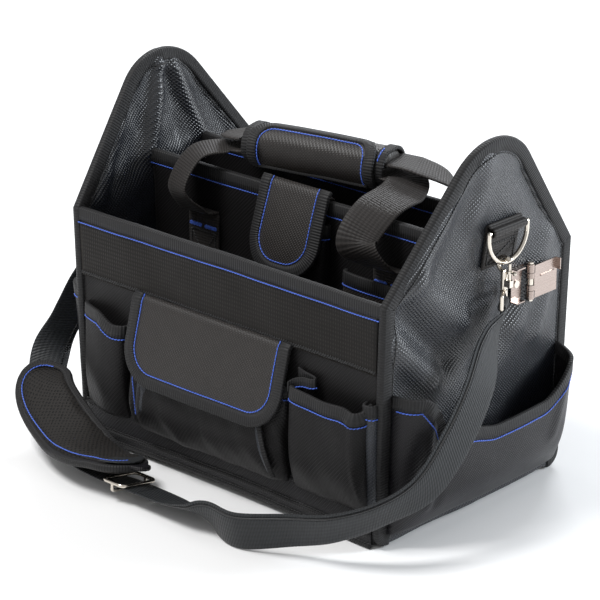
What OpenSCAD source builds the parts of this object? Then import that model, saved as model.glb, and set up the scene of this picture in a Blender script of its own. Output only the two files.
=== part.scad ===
// Open-top tool bag with gabled ends, two dividers, outside pockets, a padded carry handle
// and a clip-on shoulder strap. Origin: centre of the footprint on the floor. +Z up,
// X along the bag's length, the pocketed front faces -Y. Millimetres.

/* [Bag body] */
// Length over the end panels at shoulder height
body_len = 400; // [360:1:440]
// Length over the end panels at the floor
base_len = 386; // [350:1:430]
// Depth, front to rear
body_depth = 260; // [230:1:290]
// Height of the front and rear walls
wall_h = 236; // [210:1:260]
// Height of the gabled ends
gable_h = 364; // [330:1:390]
// Radius of the gable's rounded top
gable_r = 60; // [40:1:80]
// How far each gable leans out above the shoulder
gable_lean = 16; // [0:1:24]
// Thickness of a stiffened panel
panel_t = 6; // [4:0.5:8]
// Thickness of the front and rear walls and of the dividers
wall_t = 5; // [3:0.5:6]
// Width of the folded edge binding
binding_w = 11; // [8:1:14]
// Thickness of webbing, binding and pocket cloth
cloth_t = 1.2; // [0.8:0.1:2]

/* [Dividers] */
// Height of the dividers
divider_h = 271; // [240:1:290]
// Centre plane of the front divider
front_div_y = -27; // [-60:1:-10]
// Centre plane of the rear divider
rear_div_y = 44; // [20:1:80]

/* [Pockets] */
// Height of the outside pockets' floor above the ground
pocket_floor = 38; // [20:1:60]
// Height of the outside front pockets
pocket_top = 143; // [120:1:160]
// Thickness of a pocket's cloth and lining
pocket_t = 2.4; // [1.5:0.1:4]
// How far an end pocket stands out at its mouth
end_pocket_out = 37; // [20:1:50]

/* [Flaps] */
// Width of the front flap
flap_w = 202; // [160:1:220]
// Drop of the front flap
flap_drop = 82; // [60:1:100]
// Width of the inner flap
inner_flap_w = 84; // [60:1:100]

/* [Carry handle] */
// Width of the handle webbing
handle_web = 40; // [30:1:50]
// Length of the padded grip
grip_len = 152; // [120:1:170]
// Depth of the grip across its wrap
grip_d = 46; // [36:1:54]
// Height of the grip
grip_h = 36; // [28:1:38]
// Turn of the grip, right end to the rear
grip_yaw = 12; // [0:1:20]

/* [Shoulder strap] */
// Width of the shoulder strap
strap_w = 38; // [34:1:46]
// Thickness of the strap's webbing plies together
strap_t = 3.4; // [2:0.1:5]
// Width of the shoulder pad
pad_w = 64; // [50:1:75]
// Thickness of the shoulder pad
pad_t = 11; // [8:1:16]

/* [Hardware] */
// Inside width of a D-ring
ring_in = 50; // [40:1:52]
// Wire diameter of a D-ring
ring_wire = 4.5; // [3:0.5:5]
// Running clearance of a pin in its bore
fit = 0.05; // [0.02:0.01:0.1]

/* [Hidden] */
$fn = 48;
hl = body_len / 2;
hb = base_len / 2;
hd = body_depth / 2;
lean_low = atan((hl - hb) / wall_h);
lean_top = atan(gable_lean / (gable_h - wall_h));
board_z = 5;
front_y = -hd;
corner_r = 14;
foot_r = 8;

// Outside face of an end panel at height z
function end_x(z) = z <= wall_h ? hb + (hl - hb) * z / wall_h
                                : hl + gable_lean * (z - wall_h) / (gable_h - wall_h);
// Half length available between the end panels and their bindings at height z
function inside_x(z) = end_x(z) - panel_t - cloth_t - 0.4;
// Points of an arc from angle a0 to a1
function arc(cx, cy, r, a0, a1, n = 10) =
    [for (i = [0:n]) [cx + r * cos(a0 + (a1 - a0) * i / n), cy + r * sin(a0 + (a1 - a0) * i / n)]];

// ---------- shared shapes ----------

// A profile drawn as (y, z), extruded along +x from x0 over length t
module along_x(x0, t) { translate([x0, 0, 0]) rotate([90, 0, 90]) linear_extrude(t) children(); }
// A profile drawn as (x, z), extruded along +y from y0 over length t
module along_y(y0, t) { translate([0, y0 + t, 0]) rotate([90, 0, 0]) linear_extrude(t) children(); }

// Lower part of an end panel, up to the shoulder, inset by d
module end_low_outline(d = 0) {
    r = corner_r - d;
    polygon(concat([[-hd + d, wall_h + 0.6]], arc(-hd + d + r, 3 + d + r, r, 180, 270, 6),
                   arc(hd - d - r, 3 + d + r, r, 270, 360, 6), [[hd - d, wall_h + 0.6]]));
}
// Gable above the shoulder, inset by d, drawn from the shoulder line up
module gable_outline(d = 0) {
    rise = gable_h - wall_h - d;
    r = gable_r - d;
    half = hd - 1.27 * d;
    cz = rise - r;
    far = sqrt(half * half + cz * cz);
    a = atan2(-cz, half) + acos(r / far);
    polygon(concat([[half, 0]], arc(0, cz, r, a, 180 - a, 16), [[-half, 0]]));
}
// Both plates of a right end panel, from x offset out1 to out2 beyond the outside face
module end_plates(out1, out2, d) {
    translate([hb, 0, 0]) rotate([0, lean_low, 0]) along_x(out1, out2 - out1) end_low_outline(d);
    translate([hl, 0, wall_h]) rotate([0, lean_top, 0]) along_x(out1, out2 - out1) gable_outline(d);
}
module right_panel_shape() { end_plates(-panel_t, 0, 0); }
module right_binding_shape() {
    difference() {
        end_plates(-panel_t - cloth_t, cloth_t, -cloth_t);
        end_plates(-panel_t - 2 * cloth_t, 2 * cloth_t, binding_w);
        end_plates(-panel_t - 0.02, 0.02, -0.02);
    }
}
// Front or rear wall plate, lower edge z0, upper edge z1
module wall_plate(y0, t, z0, z1, grow = 0) {
    heights = z0 < wall_h && z1 > wall_h ? [z0, wall_h, z1] : [z0, z1];
    edge = [for (z = heights) [inside_x(z) - grow, z]];
    along_y(y0, t) polygon(concat(edge, [for (i = [len(edge) - 1:-1:0]) [-edge[i][0], edge[i][1]]]));
}
// Binding folded over a straight top edge at height z, on a wall from y0 to y0 + t
module edge_binding(y0, t, z, w, grow = 0) {
    difference() {
        wall_plate(y0 - cloth_t, t + 2 * cloth_t, z - w, z + cloth_t, grow);
        wall_plate(y0 - 0.02, t + 0.04, z - w - 1, z, -1 + grow);
    }
}

// ---------- shell of the bag ----------

module bottom_panel() {
    x = inside_x(0) - foot_r;
    y = hd - foot_r;
    color("#1c1d20") linear_extrude(board_z) polygon(concat(arc(-x, -y, foot_r, 180, 270, 4),
        arc(x, -y, foot_r, 270, 360, 4), arc(x, y, foot_r, 0, 90, 4), arc(-x, y, foot_r, 90, 180, 4)));
}
module base_board() {
    w = 2 * (inside_x(board_z) - 1);
    d = body_depth - 2 * wall_t - 2;
    color("#26272b") translate([-w / 2, -d / 2, board_z + 0.2]) cube([w, d, 3.8]);
}
module front_wall() { color("#1b1b1f") wall_plate(front_y, wall_t, board_z + 0.2, wall_h); }
module rear_wall() { color("#1b1b1f") wall_plate(hd - wall_t, wall_t, board_z + 0.2, wall_h - 6); }
module right_end_panel() { color("#30343d") right_panel_shape(); }
module left_end_panel() { color("#30343d") mirror([1, 0, 0]) right_panel_shape(); }
module right_end_binding() { color("#202125") right_binding_shape(); }
module left_end_binding() { color("#202125") mirror([1, 0, 0]) right_binding_shape(); }
module front_rim_binding() { color("#262422") edge_binding(front_y, wall_t, wall_h, binding_w, 2); }
module rear_rim_binding() { color("#262422") edge_binding(hd - wall_t, wall_t, wall_h - 6, binding_w, 2); }
band_top = wall_h - binding_w - 1;
band_low = 170;
module front_band() {
    color("#2a2622") wall_plate(front_y - 1.6, 1.4, band_low, band_top, 4);
}
// Welted seam round the foot of the bag
module base_binding() {
    color("#232327") difference() {
        union() {
            wall_plate(front_y - 3, 2.8, 3, 16, 2);
            wall_plate(front_y - 2.2, 2, 16, pocket_floor - 1, 2);
            wall_plate(hd + 0.2, 2.8, 3, 16, 2);
        }
        translate([-hl, -hd - 5, 14.6]) cube([2 * hl, 2.6, 1.4]);
    }
}

// ---------- dividers ----------

divider_foot = 10;
module divider_plate(yc, h) { wall_plate(yc - wall_t / 2, wall_t, divider_foot, h, 1); }
module front_divider() { color("#201e1e") divider_plate(front_div_y, divider_h); }
module rear_divider() { color("#201e1e") divider_plate(rear_div_y, divider_h + 1); }
module front_divider_binding() {
    color("#262422") edge_binding(front_div_y - wall_t / 2, wall_t, divider_h, binding_w, 2);
}
module rear_divider_binding() {
    color("#262422") edge_binding(rear_div_y - wall_t / 2, wall_t, divider_h + 1, binding_w, 2);
}

// ---------- outside pockets ----------

// A pocket sewn on a wall: profile (u out, z up) from the wall, closed by side gussets
module tray(len, foot_out, belly_out, top_out, z0, zb, z1) {
    t = pocket_t;
    difference() {
        linear_extrude(len) polygon([[0, z0], [foot_out, z0], [belly_out, zb], [top_out, z1], [0, z1]]);
        translate([0, 0, t]) linear_extrude(len - 2 * t)
            polygon([[-1, z0 + t], [foot_out - t, z0 + t], [belly_out - t, zb],
                     [top_out - t, z1 + 1], [-1, z1 + 1]]);
    }
}
// Same pocket placed on the outside of the front wall, from x0 to x1
module front_tray(x0, x1, foot_out, belly_out, top_out, z1, wall = front_y, z0 = pocket_floor) {
    translate([x1, wall - 0.2, 0]) rotate([0, 0, 180]) rotate([90, 0, 90])
        tray(x1 - x0, foot_out, belly_out, top_out, z0, z0 + 0.3 * (z1 - z0), z1);
}
left_pocket = [-186, -126];
centre_pocket = [-116, 86];
right_pocket = [96, 185];
centre_top = 132;
centre_belly = 25;
centre_out = 10.5;
module left_front_pocket() {
    color("#1d1b1c") front_tray(left_pocket[0], left_pocket[1], 9, 16, 12, pocket_top);
}
module centre_front_pocket() {
    color("#1d1b1c") front_tray(centre_pocket[0], centre_pocket[1], 13, centre_belly, centre_out, centre_top);
}
module right_front_pocket() {
    color("#1f1c1c") front_tray(right_pocket[0], right_pocket[1], 9, 21, 17, pocket_top - 3);
}

// End pocket: tapered pouch whose mouth dips in the middle
end_pocket_y = [-118, 118];
end_pocket_top = 150;
end_pocket_floor = 16;
mouth_low = 97;
module end_pocket_shape() {
    t = pocket_t;
    z0 = end_pocket_floor;
    z1 = end_pocket_top;
    foot = 12;
    x0 = end_x(z0) + 0.3;
    x1 = end_x(z1) + 0.3;
    out = x1 + end_pocket_out;
    belly = x0 + 29;
    y0 = end_pocket_y[0];
    len = end_pocket_y[1] - y0;
    difference() {
        along_y(y0, len) polygon([[x0, z0], [x0 + foot, z0], [belly, z0 + 32], [out, z1], [x1, z1]]);
        along_y(y0 + t, len - 2 * t) polygon([[x0 - 1, z0 + t], [x0 + foot - t, z0 + t],
            [belly - t, z0 + 32], [out - t, z1 + 1], [x0 - 1, z1 + 1]]);
        // the dipped mouth
        translate([x0 - 2, 20, 0]) rotate([90, 0, 90]) linear_extrude(80)
            polygon(concat([[-104, z1 + 2]], arc(-42, mouth_low + 40, 40, 205, 270, 8),
                           arc(22, mouth_low + 40, 40, 270, 345, 8), [[66, z1 + 2]]));
    }
}
module right_end_pocket() { color("#2a2a31") end_pocket_shape(); }
module left_end_pocket() { color("#2a2a31") mirror([1, 0, 0]) end_pocket_shape(); }

// ---------- pockets on the front divider ----------

div_face = front_div_y - wall_t / 2;
module inner_pocket() {
    color("#1d1b1b") front_tray(-38, 42, 12, 21, 8, 250, div_face, 120);
}
module inner_low_pocket() {
    color("#1d1b1b") front_tray(64, 176, 8, 10, 9, 212, div_face, 90);
}

// ---------- flaps ----------

// Flap panel: hangs from its hinge line, rounded lower corners, drawn as (x, z) below z = 0
module flap_outline(w, drop, r) {
    polygon(concat([[w / 2, -1]], [[-w / 2, -1]], arc(-w / 2 + r, -drop + r, r, 180, 270, 10),
                   arc(w / 2 - r, -drop + r, r, 270, 360, 10)));
}
flap_x = -12;
flap_hinge_z = 168;
flap_hinge_y = front_y - 4.5;
flap_tilt = 14;
flap_t = 2.6;
module front_flap() {
    color("#2d2a29") translate([flap_x, flap_hinge_y, flap_hinge_z]) rotate([-flap_tilt, 0, 0])
        along_y(-flap_t, flap_t) flap_outline(flap_w, flap_drop, 30);
}
patch_w = 90;
patch_h = 20;
patch_drop = 54;
module flap_hook_patch() {
    color("#151517") translate([flap_x, flap_hinge_y, flap_hinge_z]) rotate([-flap_tilt, 0, 0])
        translate([-patch_w / 2, 0.1, -patch_drop - patch_h / 2]) cube([patch_w, 1, patch_h]);
}
// The loop half sits on the centre pocket's upper front, which slopes forward and down
pocket_slope = atan((centre_belly - centre_out) / (0.7 * (centre_top - pocket_floor)));
module flap_loop_patch() {
    color("#151517") translate([flap_x, front_y - 0.2 - centre_out, centre_top]) rotate([-pocket_slope, 0, 0])
        translate([-patch_w / 2, -1.1, -4 - patch_h]) cube([patch_w, 1, patch_h]);
}
inner_hinge_y = div_face - 3.5;
inner_hinge_z = 278;
inner_tilt = 17;
inner_drop = 84;
inner_flap_x = 2;
module inner_flap() {
    color("#2d2826") translate([inner_flap_x, inner_hinge_y, inner_hinge_z]) rotate([-inner_tilt, 0, 0])
        along_y(-flap_t, flap_t) flap_outline(inner_flap_w, inner_drop, 36);
}

// The flap's sewn root, laid over the top of the front divider
module inner_flap_saddle() {
    low = divider_h + cloth_t + 0.2;
    color("#2d2826") translate([inner_flap_x - inner_flap_w / 2 + 3, 0, 0])
        along_x(0, inner_flap_w - 6) polygon([[div_face - 1, low], [front_div_y + 7, low],
            [front_div_y + 7, low + flap_t], [div_face - 1, inner_hinge_z - 1]]);
}

// ---------- ribbons: webbing swept along a route ----------
// Each station is [x, y, z, turn, rise, width]: turn and rise aim the width direction,
// turn about +Z from +X and rise above the floor, in degrees.

// A smooth curve through hand-set marks, with n steps from each mark to the next
function curve(a, b, c, d, t) =
    0.5 * (2 * b + (c - a) * t + (2 * a - 5 * b + 4 * c - d) * t * t + (3 * b - a - 3 * c + d) * t * t * t);
function smooth(marks, n = 3) = let (last = len(marks) - 1) concat(
    [for (i = [0:last - 1]) for (k = [0:n - 1])
        curve(marks[max(i - 1, 0)], marks[i], marks[i + 1], marks[min(i + 2, last)], k / n)], [marks[last]]);
function width_dir(s) = [cos(s[3]) * cos(s[4]), sin(s[3]) * cos(s[4]), sin(s[4])];
function spot(s) = [s[0], s[1], s[2]];
function unit(v) = v / norm(v);
// Direction of travel at station i
function travel(r, i) = let (a = max(i - 1, 0), b = min(i + 1, len(r) - 1)) unit(spot(r[b]) - spot(r[a]));
// Width direction squared up to the direction of travel
function across(r, i) = let (d = travel(r, i), w = width_dir(r[i])) unit(w - d * (w * d));
// The four corners of the section at station i
function ring_points(r, i, t) =
    let (w = across(r, i), n = cross(travel(r, i), w), c = spot(r[i]), h = r[i][5] / 2)
    [c - w * h - n * t / 2, c + w * h - n * t / 2, c + w * h + n * t / 2, c - w * h + n * t / 2];
module ribbon(r, t) {
    k = len(r);
    polyhedron(points = [for (i = [0:k - 1]) each ring_points(r, i, t)],
        faces = concat([[0, 1, 2, 3]], [for (i = [0:k - 2]) each [for (j = [0:3])
            let (a = 4 * i + j, b = 4 * i + (j + 1) % 4) each [[a, b + 4, b], [a, a + 4, b + 4]]]],
            [[4 * k - 1, 4 * k - 2, 4 * k - 3, 4 * k - 4]]), convexity = 8);
}

// ---------- carry handle ----------

handle_root_x = 118;
root_top = 226;
root_low = 150;
web_t = 2.6;
front_root_y = front_div_y - wall_t / 2 - 0.2 - web_t;
rear_root_y = rear_div_y + wall_t / 2 + 0.2;
module handle_roots(y0) {
    for (x = [-handle_root_x - 4, handle_root_x]) translate([x - handle_web / 2, y0, root_low])
        cube([handle_web, web_t, root_top - root_low]);
}
module front_handle_roots() { color("#23272d") handle_roots(front_root_y); }
module rear_handle_roots() { color("#23272d") handle_roots(rear_root_y); }

grip_c = [-4, 10, 301];
root_y = [front_root_y + web_t / 2, rear_root_y + web_t / 2];
run_z = root_top + 2;
// Free part of each strap: out of its root, round the slack curl and up to the grip
front_left_run = smooth([
    [-122, root_y[0], run_z, 0, 0, handle_web], [-122, -37, 229, 0, 0, handle_web],
    [-122, -48, 233, 0, 0, handle_web], [-130, -60, 256, -22, 0, handle_web],
    [-122, -41, 288, -36, -4, handle_web], [-100, -14, 293, -74, 0, handle_web],
    [-82, -8.5, 295, -78, 0, handle_web]]);
front_right_run = smooth([
    [118, root_y[0], run_z, 0, 0, handle_web], [118, -37, 229, 0, 0, handle_web],
    [118, -48, 233, 0, 0, handle_web], [104, -62, 256, 22, 0, handle_web],
    [107, -38, 283, 38, -4, handle_web], [103, 4, 290, 78, -4, handle_web],
    [90, 24, 294, 98, 0, handle_web], [74, 22, 295, 102, 0, handle_web]]);
rear_left_run = smooth([
    [-122, root_y[1], run_z, 0, 0, handle_web], [-122, 54, 229, 0, 0, handle_web],
    [-122, 62, 233, 0, 0, handle_web], [-128, 68, 262, 15, 0, handle_web],
    [-118, 38, 293, 50, 0, handle_web], [-105, 5, 303, 82, 0, handle_web],
    [-92, -7, 306, 97, 0, handle_web], [-80, -7, 307, 100, 0, handle_web]]);
rear_right_run = smooth([
    [118, root_y[1], run_z, 0, 0, handle_web], [118, 54, 229, 0, 0, handle_web],
    [118, 62, 233, 0, 0, handle_web], [130, 68, 260, -18, 0, handle_web],
    [118, 54, 290, -45, -3, handle_web], [94, 36, 304, -74, 0, handle_web],
    [74, 28, 307, -78, 0, handle_web]]);
module front_handle_strap() {
    color("#2e2a27") {
        ribbon(front_left_run, web_t);
        ribbon(front_right_run, web_t);
    }
}
module rear_handle_strap() {
    color("#2e2a27") {
        ribbon(rear_left_run, web_t);
        ribbon(rear_right_run, web_t);
    }
}
// Grip section, drawn as (y, z): a rounded oblong
module grip_section(grow) {
    r = grip_h / 2 + grow;
    e = grip_d / 2 - grip_h / 2;
    polygon(concat(arc(e, 0, r, -90, 90, 10), arc(-e, 0, r, 90, 270, 10)));
}
module at_grip() { translate(grip_c) rotate([0, 0, grip_yaw]) children(); }
module handle_grip() {
    color("#252322") at_grip() along_x(-grip_len / 2, grip_len) grip_section(0);
}
flap_end = 8;
module grip_flap() {
    color("#2b2827") at_grip() intersection() {
        difference() {
            along_x(-grip_len / 2 + flap_end, grip_len - 2 * flap_end) grip_section(3.2);
            along_x(-grip_len / 2, grip_len) grip_section(0.5);
        }
        translate([-grip_len / 2, -grip_d, -grip_h * 0.42]) cube([grip_len, grip_d, grip_h * 1.2]);
    }
}

// ---------- D-rings, tabs and snap hooks ----------

ring_y = 21;
ring_bar_z = 276;
ring_r = ring_in / 2 + ring_wire / 2;
ring_leg = 5;
ring_x = 213;
ring_low = ring_bar_z - ring_leg - ring_r;
module d_ring_shape() {
    w = ring_wire / 2;
    translate([ring_x, ring_y, ring_bar_z]) {
        translate([0, -ring_r, 0]) rotate([-90, 0, 0]) cylinder(r = w, h = 2 * ring_r);
        for (s = [-1, 1]) translate([0, s * ring_r, -ring_leg]) cylinder(r = w, h = ring_leg);
        for (s = [-1, 1]) translate([0, s * ring_r, 0]) sphere(r = w);
        translate([0, 0, -ring_leg]) rotate([0, 90, 0]) rotate([0, 0, -90])
            rotate_extrude(angle = 180) translate([ring_r, 0]) circle(r = w);
    }
}
tab_w = 47;
tab_top = ring_bar_z + 8;
tab_low = 238;
tab_wrap = 5;
tab_t = 1.4;
module ring_tab_shape() {
    x0 = end_x(tab_low) + 0.3;
    xb = ring_x;
    difference() {
        translate([0, ring_y - tab_w / 2, 0]) union() {
            // sewn patch, leaning with the gable
            along_y(0, tab_w) polygon([[x0, tab_low], [x0 + tab_t, tab_low],
                [end_x(tab_top) + 0.5 + tab_t, tab_top], [end_x(tab_top) + 0.5, tab_top]]);
            // fold round the ring's bar
            translate([xb, 0, ring_bar_z]) rotate([-90, 0, 0]) cylinder(r = tab_wrap, h = tab_w);
            along_y(0, tab_w) polygon([[end_x(ring_bar_z) + 0.7, ring_bar_z - 3.4], [xb, ring_bar_z - 3.4],
                [xb, ring_bar_z + 5], [end_x(tab_top) + 0.8, tab_top - 1]]);
        }
        translate([xb, ring_y - tab_w, ring_bar_z]) rotate([-90, 0, 0])
            cylinder(r = ring_wire / 2 + fit, h = 2 * tab_w);
    }
}
hook_x = ring_x;
hook_y = 17;
bow_wire = 2.1;
bow_r = 7.2;
bow_play = 0.8;
bow_z = ring_low + ring_wire / 2 + bow_play + bow_wire - bow_r;
shank_top = bow_z - bow_r + 1;
shank_low = shank_top - 17;
shank_r = 3.3;
lug_low = shank_low + 3;
lug_h = 6.5;
bolt_low = shank_low + 5.6;
collar_z = shank_low + 15.6;
pin_r = 1.9;
bolt_r = 1.5;
bolt_x = bow_r - 1.1;
// Snap hook: bow over the ring, shank with the swivel's bore, guide lug for the bolt
module snap_hook_shape() {
    translate([hook_x, hook_y, 0]) difference() {
        union() {
            translate([0, 0, bow_z]) rotate([90, 0, 0]) rotate([0, 0, 40])
                rotate_extrude(angle = 235) translate([bow_r, 0]) circle(r = bow_wire);
            translate([0, 0, shank_low]) cylinder(r = shank_r, h = shank_top - shank_low);
            translate([0, -2.6, lug_low]) cube([bolt_x + 2.8, 5.2, lug_h]);
        }
        translate([0, 0, shank_low - 1]) cylinder(r = pin_r + fit, h = 11);
        translate([bolt_x, 0, shank_low]) cylinder(r = bolt_r + fit, h = 20);
    }
}
bolt_top = bow_z + bow_r * sin(40) - 2.4;
// Spring bolt that closes the bow, with its thumb knob
module hook_bolt_shape() {
    translate([hook_x + bolt_x, hook_y, 0]) {
        translate([0, 0, bolt_low]) cylinder(r = bolt_r, h = bolt_top - bolt_low);
        translate([0, 0, collar_z]) cylinder(r = bolt_r + 1, h = 3);
        translate([0, 0, collar_z + 1.5]) rotate([0, 90, 0]) cylinder(r = 1.2, h = 6);
        translate([6, 0, collar_z + 1.5]) sphere(r = 2);
    }
}
eye_turn = -58;
eye_in = 26;
eye_wire = 2;
eye_top = shank_low - 2.6;
eye_low = eye_top - 12;
// Swivel eye: pin with its head inside the shank, and a rectangular loop for the strap
module swivel_eye_shape() {
    w = eye_in / 2 + eye_wire;
    translate([hook_x, hook_y, 0]) {
        translate([0, 0, eye_top]) cylinder(r = pin_r, h = shank_low + 8 - eye_top);
        translate([0, 0, eye_top - 1]) cylinder(r = 3.4, h = 2.6);
        rotate([0, 0, eye_turn]) {
            for (z = [eye_top, eye_low]) translate([-w, 0, z]) rotate([0, 90, 0])
                cylinder(r = eye_wire, h = 2 * w);
            for (s = [-1, 1]) translate([s * w, 0, eye_low]) cylinder(r = eye_wire, h = eye_top - eye_low);
            for (s = [-1, 1]) for (z = [eye_top, eye_low]) translate([s * w, 0, z]) sphere(r = eye_wire);
        }
    }
}
module right_ring_tab() { color("#22252a") ring_tab_shape(); }
module left_ring_tab() { color("#22252a") mirror([1, 0, 0]) ring_tab_shape(); }
module right_d_ring() { color("#b9b4aa") d_ring_shape(); }
module left_d_ring() { color("#b9b4aa") mirror([1, 0, 0]) d_ring_shape(); }
module right_snap_hook() { color("#b8aca0") snap_hook_shape(); }
module left_snap_hook() { color("#b8aca0") mirror([1, 0, 0]) snap_hook_shape(); }
module right_hook_bolt() { color("#b8aca0") hook_bolt_shape(); }
module left_hook_bolt() { color("#b8aca0") mirror([1, 0, 0]) hook_bolt_shape(); }
module right_swivel_eye() { color("#b8aca0") swivel_eye_shape(); }
module left_swivel_eye() { color("#b8aca0") mirror([1, 0, 0]) swivel_eye_shape(); }

// ---------- shoulder strap ----------

// Upper ends of the strap, folded round the eye's bar and moving with the hook
fold_z = eye_low - 4.4;
right_end_run = smooth([
    [213, 17, fold_z, eye_turn, 0, 24], [213, 16, 192, -60, 0, 26], [216, 4, 183, -68, 8, 32],
    [222, -11, 174, -75, 15, strap_w]]);
left_end_run = smooth([
    [-213, 17, fold_z, -eye_turn, 0, 24], [-213, 16, 192, 57, 0, 26], [-217, 6, 185, 58, 0, 32],
    [-225, -9, 177, 60, 0, strap_w]]);
// Right run: down across the end pocket, round the front corner standing on its edge, then
// lying over on its face to reach the slider
floor_y = -200;
floor_z = 12;
floor_tilt = 10;
right_run = smooth([
    [223, -14, 172, -76, 16, strap_w], [240, -50, 145, -95, 30, strap_w],
    [245, -85, 110, -100, 35, strap_w], [240, -120, 75, -95, 40, strap_w],
    [220, -155, 55, -75, 50, strap_w], [185, -180, 38, -70, 60, strap_w],
    [145, -195, 28, -80, 70, strap_w], [100, -215, 20, -90, 78, strap_w],
    [65, -212, 20, -90, 70, strap_w], [40, -207, 16, -90, 35, strap_w],
    [5, -201, 12.5, -90, 14, strap_w], [-30, floor_y, floor_z, -90, floor_tilt, strap_w]]);
// Stretch through the slider, under the pad and up round the left corner to the left hook
left_run = smooth([
    [-31, floor_y, floor_z, 90, -floor_tilt, strap_w], [-60, floor_y, floor_z, 90, -floor_tilt, strap_w],
    [-90, floor_y, floor_z, 90, -floor_tilt, strap_w],
    [-125, -194, 18, 85, 10, strap_w], [-165, -180, 27, 78, 28, strap_w],
    [-212, -160, 45, 70, 35, strap_w], [-242, -130, 72, 75, 20, strap_w],
    [-246, -100, 105, 82, 5, strap_w], [-246, -75, 135, 80, 0, strap_w],
    [-240, -42, 160, 70, 0, strap_w], [-227, -14, 174.6, 60, 0, strap_w]]);
module right_strap_end() { color("#2b2f36") ribbon(right_end_run, strap_t); }
module left_strap_end() { color("#2b2f36") ribbon(left_end_run, strap_t); }
module shoulder_strap_right() { color("#2b2f36") ribbon(right_run, strap_t); }
module shoulder_strap_left() { color("#2b2f36") ribbon(left_run, strap_t); }

// Shoulder pad: rides on the strap's outer face round the front left corner, its lower tip
// standing clear of the slider
pad_first = 2;
pad_last = 17;
pad_gap = 2.8;
pad_lift = (strap_t + pad_t) / 2 + pad_gap;
tip_lift = 8;
tip_span = 8;
function pad_width(i) = let (e = min(i - pad_first, pad_last - i)) e >= 2 ? pad_w : pad_w - 9 * (2 - e);
function pad_station(i) =
    let (n = cross(travel(left_run, i), across(left_run, i)),
         lift = pad_lift + tip_lift * max(0, 1 - (i - pad_first) / tip_span),
         c = spot(left_run[i]) - n * lift)
    [c[0], c[1], c[2], left_run[i][3], left_run[i][4], pad_width(i)];
pad_run = [for (i = [pad_first:pad_last]) pad_station(i)];
module shoulder_pad() { color("#1f1d1b") ribbon(pad_run, pad_t); }

// Slider: wire frame across the strap, centre bar underneath it
slider_x = -58;
slider_run = 28;
slider_wire = 1.8;
module strap_slider() {
    half = strap_w / 2 + 2.6;
    rise = strap_t / 2 + slider_wire + 0.4;
    color("#8f8a84") translate([slider_x, floor_y, floor_z]) rotate([-floor_tilt, 0, 0]) {
        for (s = [-1, 1]) translate([s * slider_run / 2, -half, rise]) rotate([-90, 0, 0])
            cylinder(r = slider_wire, h = 2 * half);
        for (s = [-1, 1]) translate([-slider_run / 2, s * half, rise]) rotate([0, 90, 0])
            cylinder(r = slider_wire, h = slider_run);
        for (s = [-1, 1]) for (u = [-1, 1]) translate([u * slider_run / 2, s * half, rise])
            sphere(r = slider_wire);
        for (s = [-1, 1]) translate([0, s * half, -rise]) cylinder(r = slider_wire, h = 2 * rise);
        translate([0, -half - slider_wire, -rise]) rotate([-90, 0, 0])
            cylinder(r = slider_wire, h = 2 * (half + slider_wire));
    }
}

// ---------- tape clip ----------

clip_y = 42;
clip_len = 56;
clip_z = 194;
clip_h = 34;
clip_x = 200.6;
sheet_t = 1.2;
knuckle_x = clip_x + 6;
knuckle_y = clip_y + 22;
knuckle_r = 3.8;
clip_pin_r = 1.5;
barrel = 8;
jaw_gap = 0.4;
module knuckle(z, h) {
    difference() {
        translate([knuckle_x, knuckle_y, z]) cylinder(r = knuckle_r, h = h);
        translate([knuckle_x, knuckle_y, z - 1]) cylinder(r = clip_pin_r + fit, h = h + 2);
    }
}
module clip_base() {
    color("#b79f92") {
        difference() {
            union() {
                translate([clip_x, clip_y, clip_z]) cube([sheet_t, clip_len, clip_h]);
                // folded ears at the free end
                for (z = [clip_z, clip_z + clip_h - sheet_t]) translate([clip_x, clip_y, z])
                    cube([8, 12, sheet_t]);
                for (z = [clip_z, clip_z + clip_h - barrel]) {
                    translate([knuckle_x, knuckle_y, z]) cylinder(r = knuckle_r, h = barrel);
                    translate([clip_x + sheet_t / 2, knuckle_y - 1.5, z]) cube([5, 3, barrel]);
                }
            }
            translate([knuckle_x, knuckle_y, clip_z - 1]) cylinder(r = clip_pin_r + fit, h = clip_h + 2);
            for (y = [clip_y + 7, clip_y + clip_len - 10]) translate([clip_x - 1, y, clip_z + clip_h / 2])
                rotate([0, 90, 0]) cylinder(r = 2.1, h = 4);
        }
    }
}
rivet_x = end_x(clip_z + clip_h / 2) + 0.1;
module clip_rivets() {
    color("#c3b7ab") for (y = [clip_y + 7, clip_y + clip_len - 10])
        translate([0, y, clip_z + clip_h / 2]) rotate([0, 90, 0]) {
            translate([0, 0, rivet_x]) cylinder(r = 2.05, h = clip_x + sheet_t + 0.6 - rivet_x);
            translate([0, 0, clip_x + sheet_t + 0.02]) cylinder(r = 3.6, h = 1.1);
        }
}
module clip_pin() {
    color("#a9a29a") {
        translate([knuckle_x, knuckle_y, clip_z - 0.8]) cylinder(r = clip_pin_r, h = clip_h + 1.6);
        for (z = [clip_z - 2, clip_z + clip_h + 0.4]) translate([knuckle_x, knuckle_y, z])
            cylinder(r = 2.6, h = 1.6);
    }
}
jaw_low = clip_z + barrel + jaw_gap;
jaw_span = clip_h - 2 * barrel - 2 * jaw_gap;
spring_h = 6;
module clip_spring() {
    color("#8a8580") difference() {
        translate([knuckle_x, knuckle_y, clip_z + clip_h / 2 - spring_h / 2]) cylinder(r = 3.1, h = spring_h);
        translate([knuckle_x, knuckle_y, clip_z]) cylinder(r = clip_pin_r + 0.2, h = clip_h);
    }
}
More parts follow.
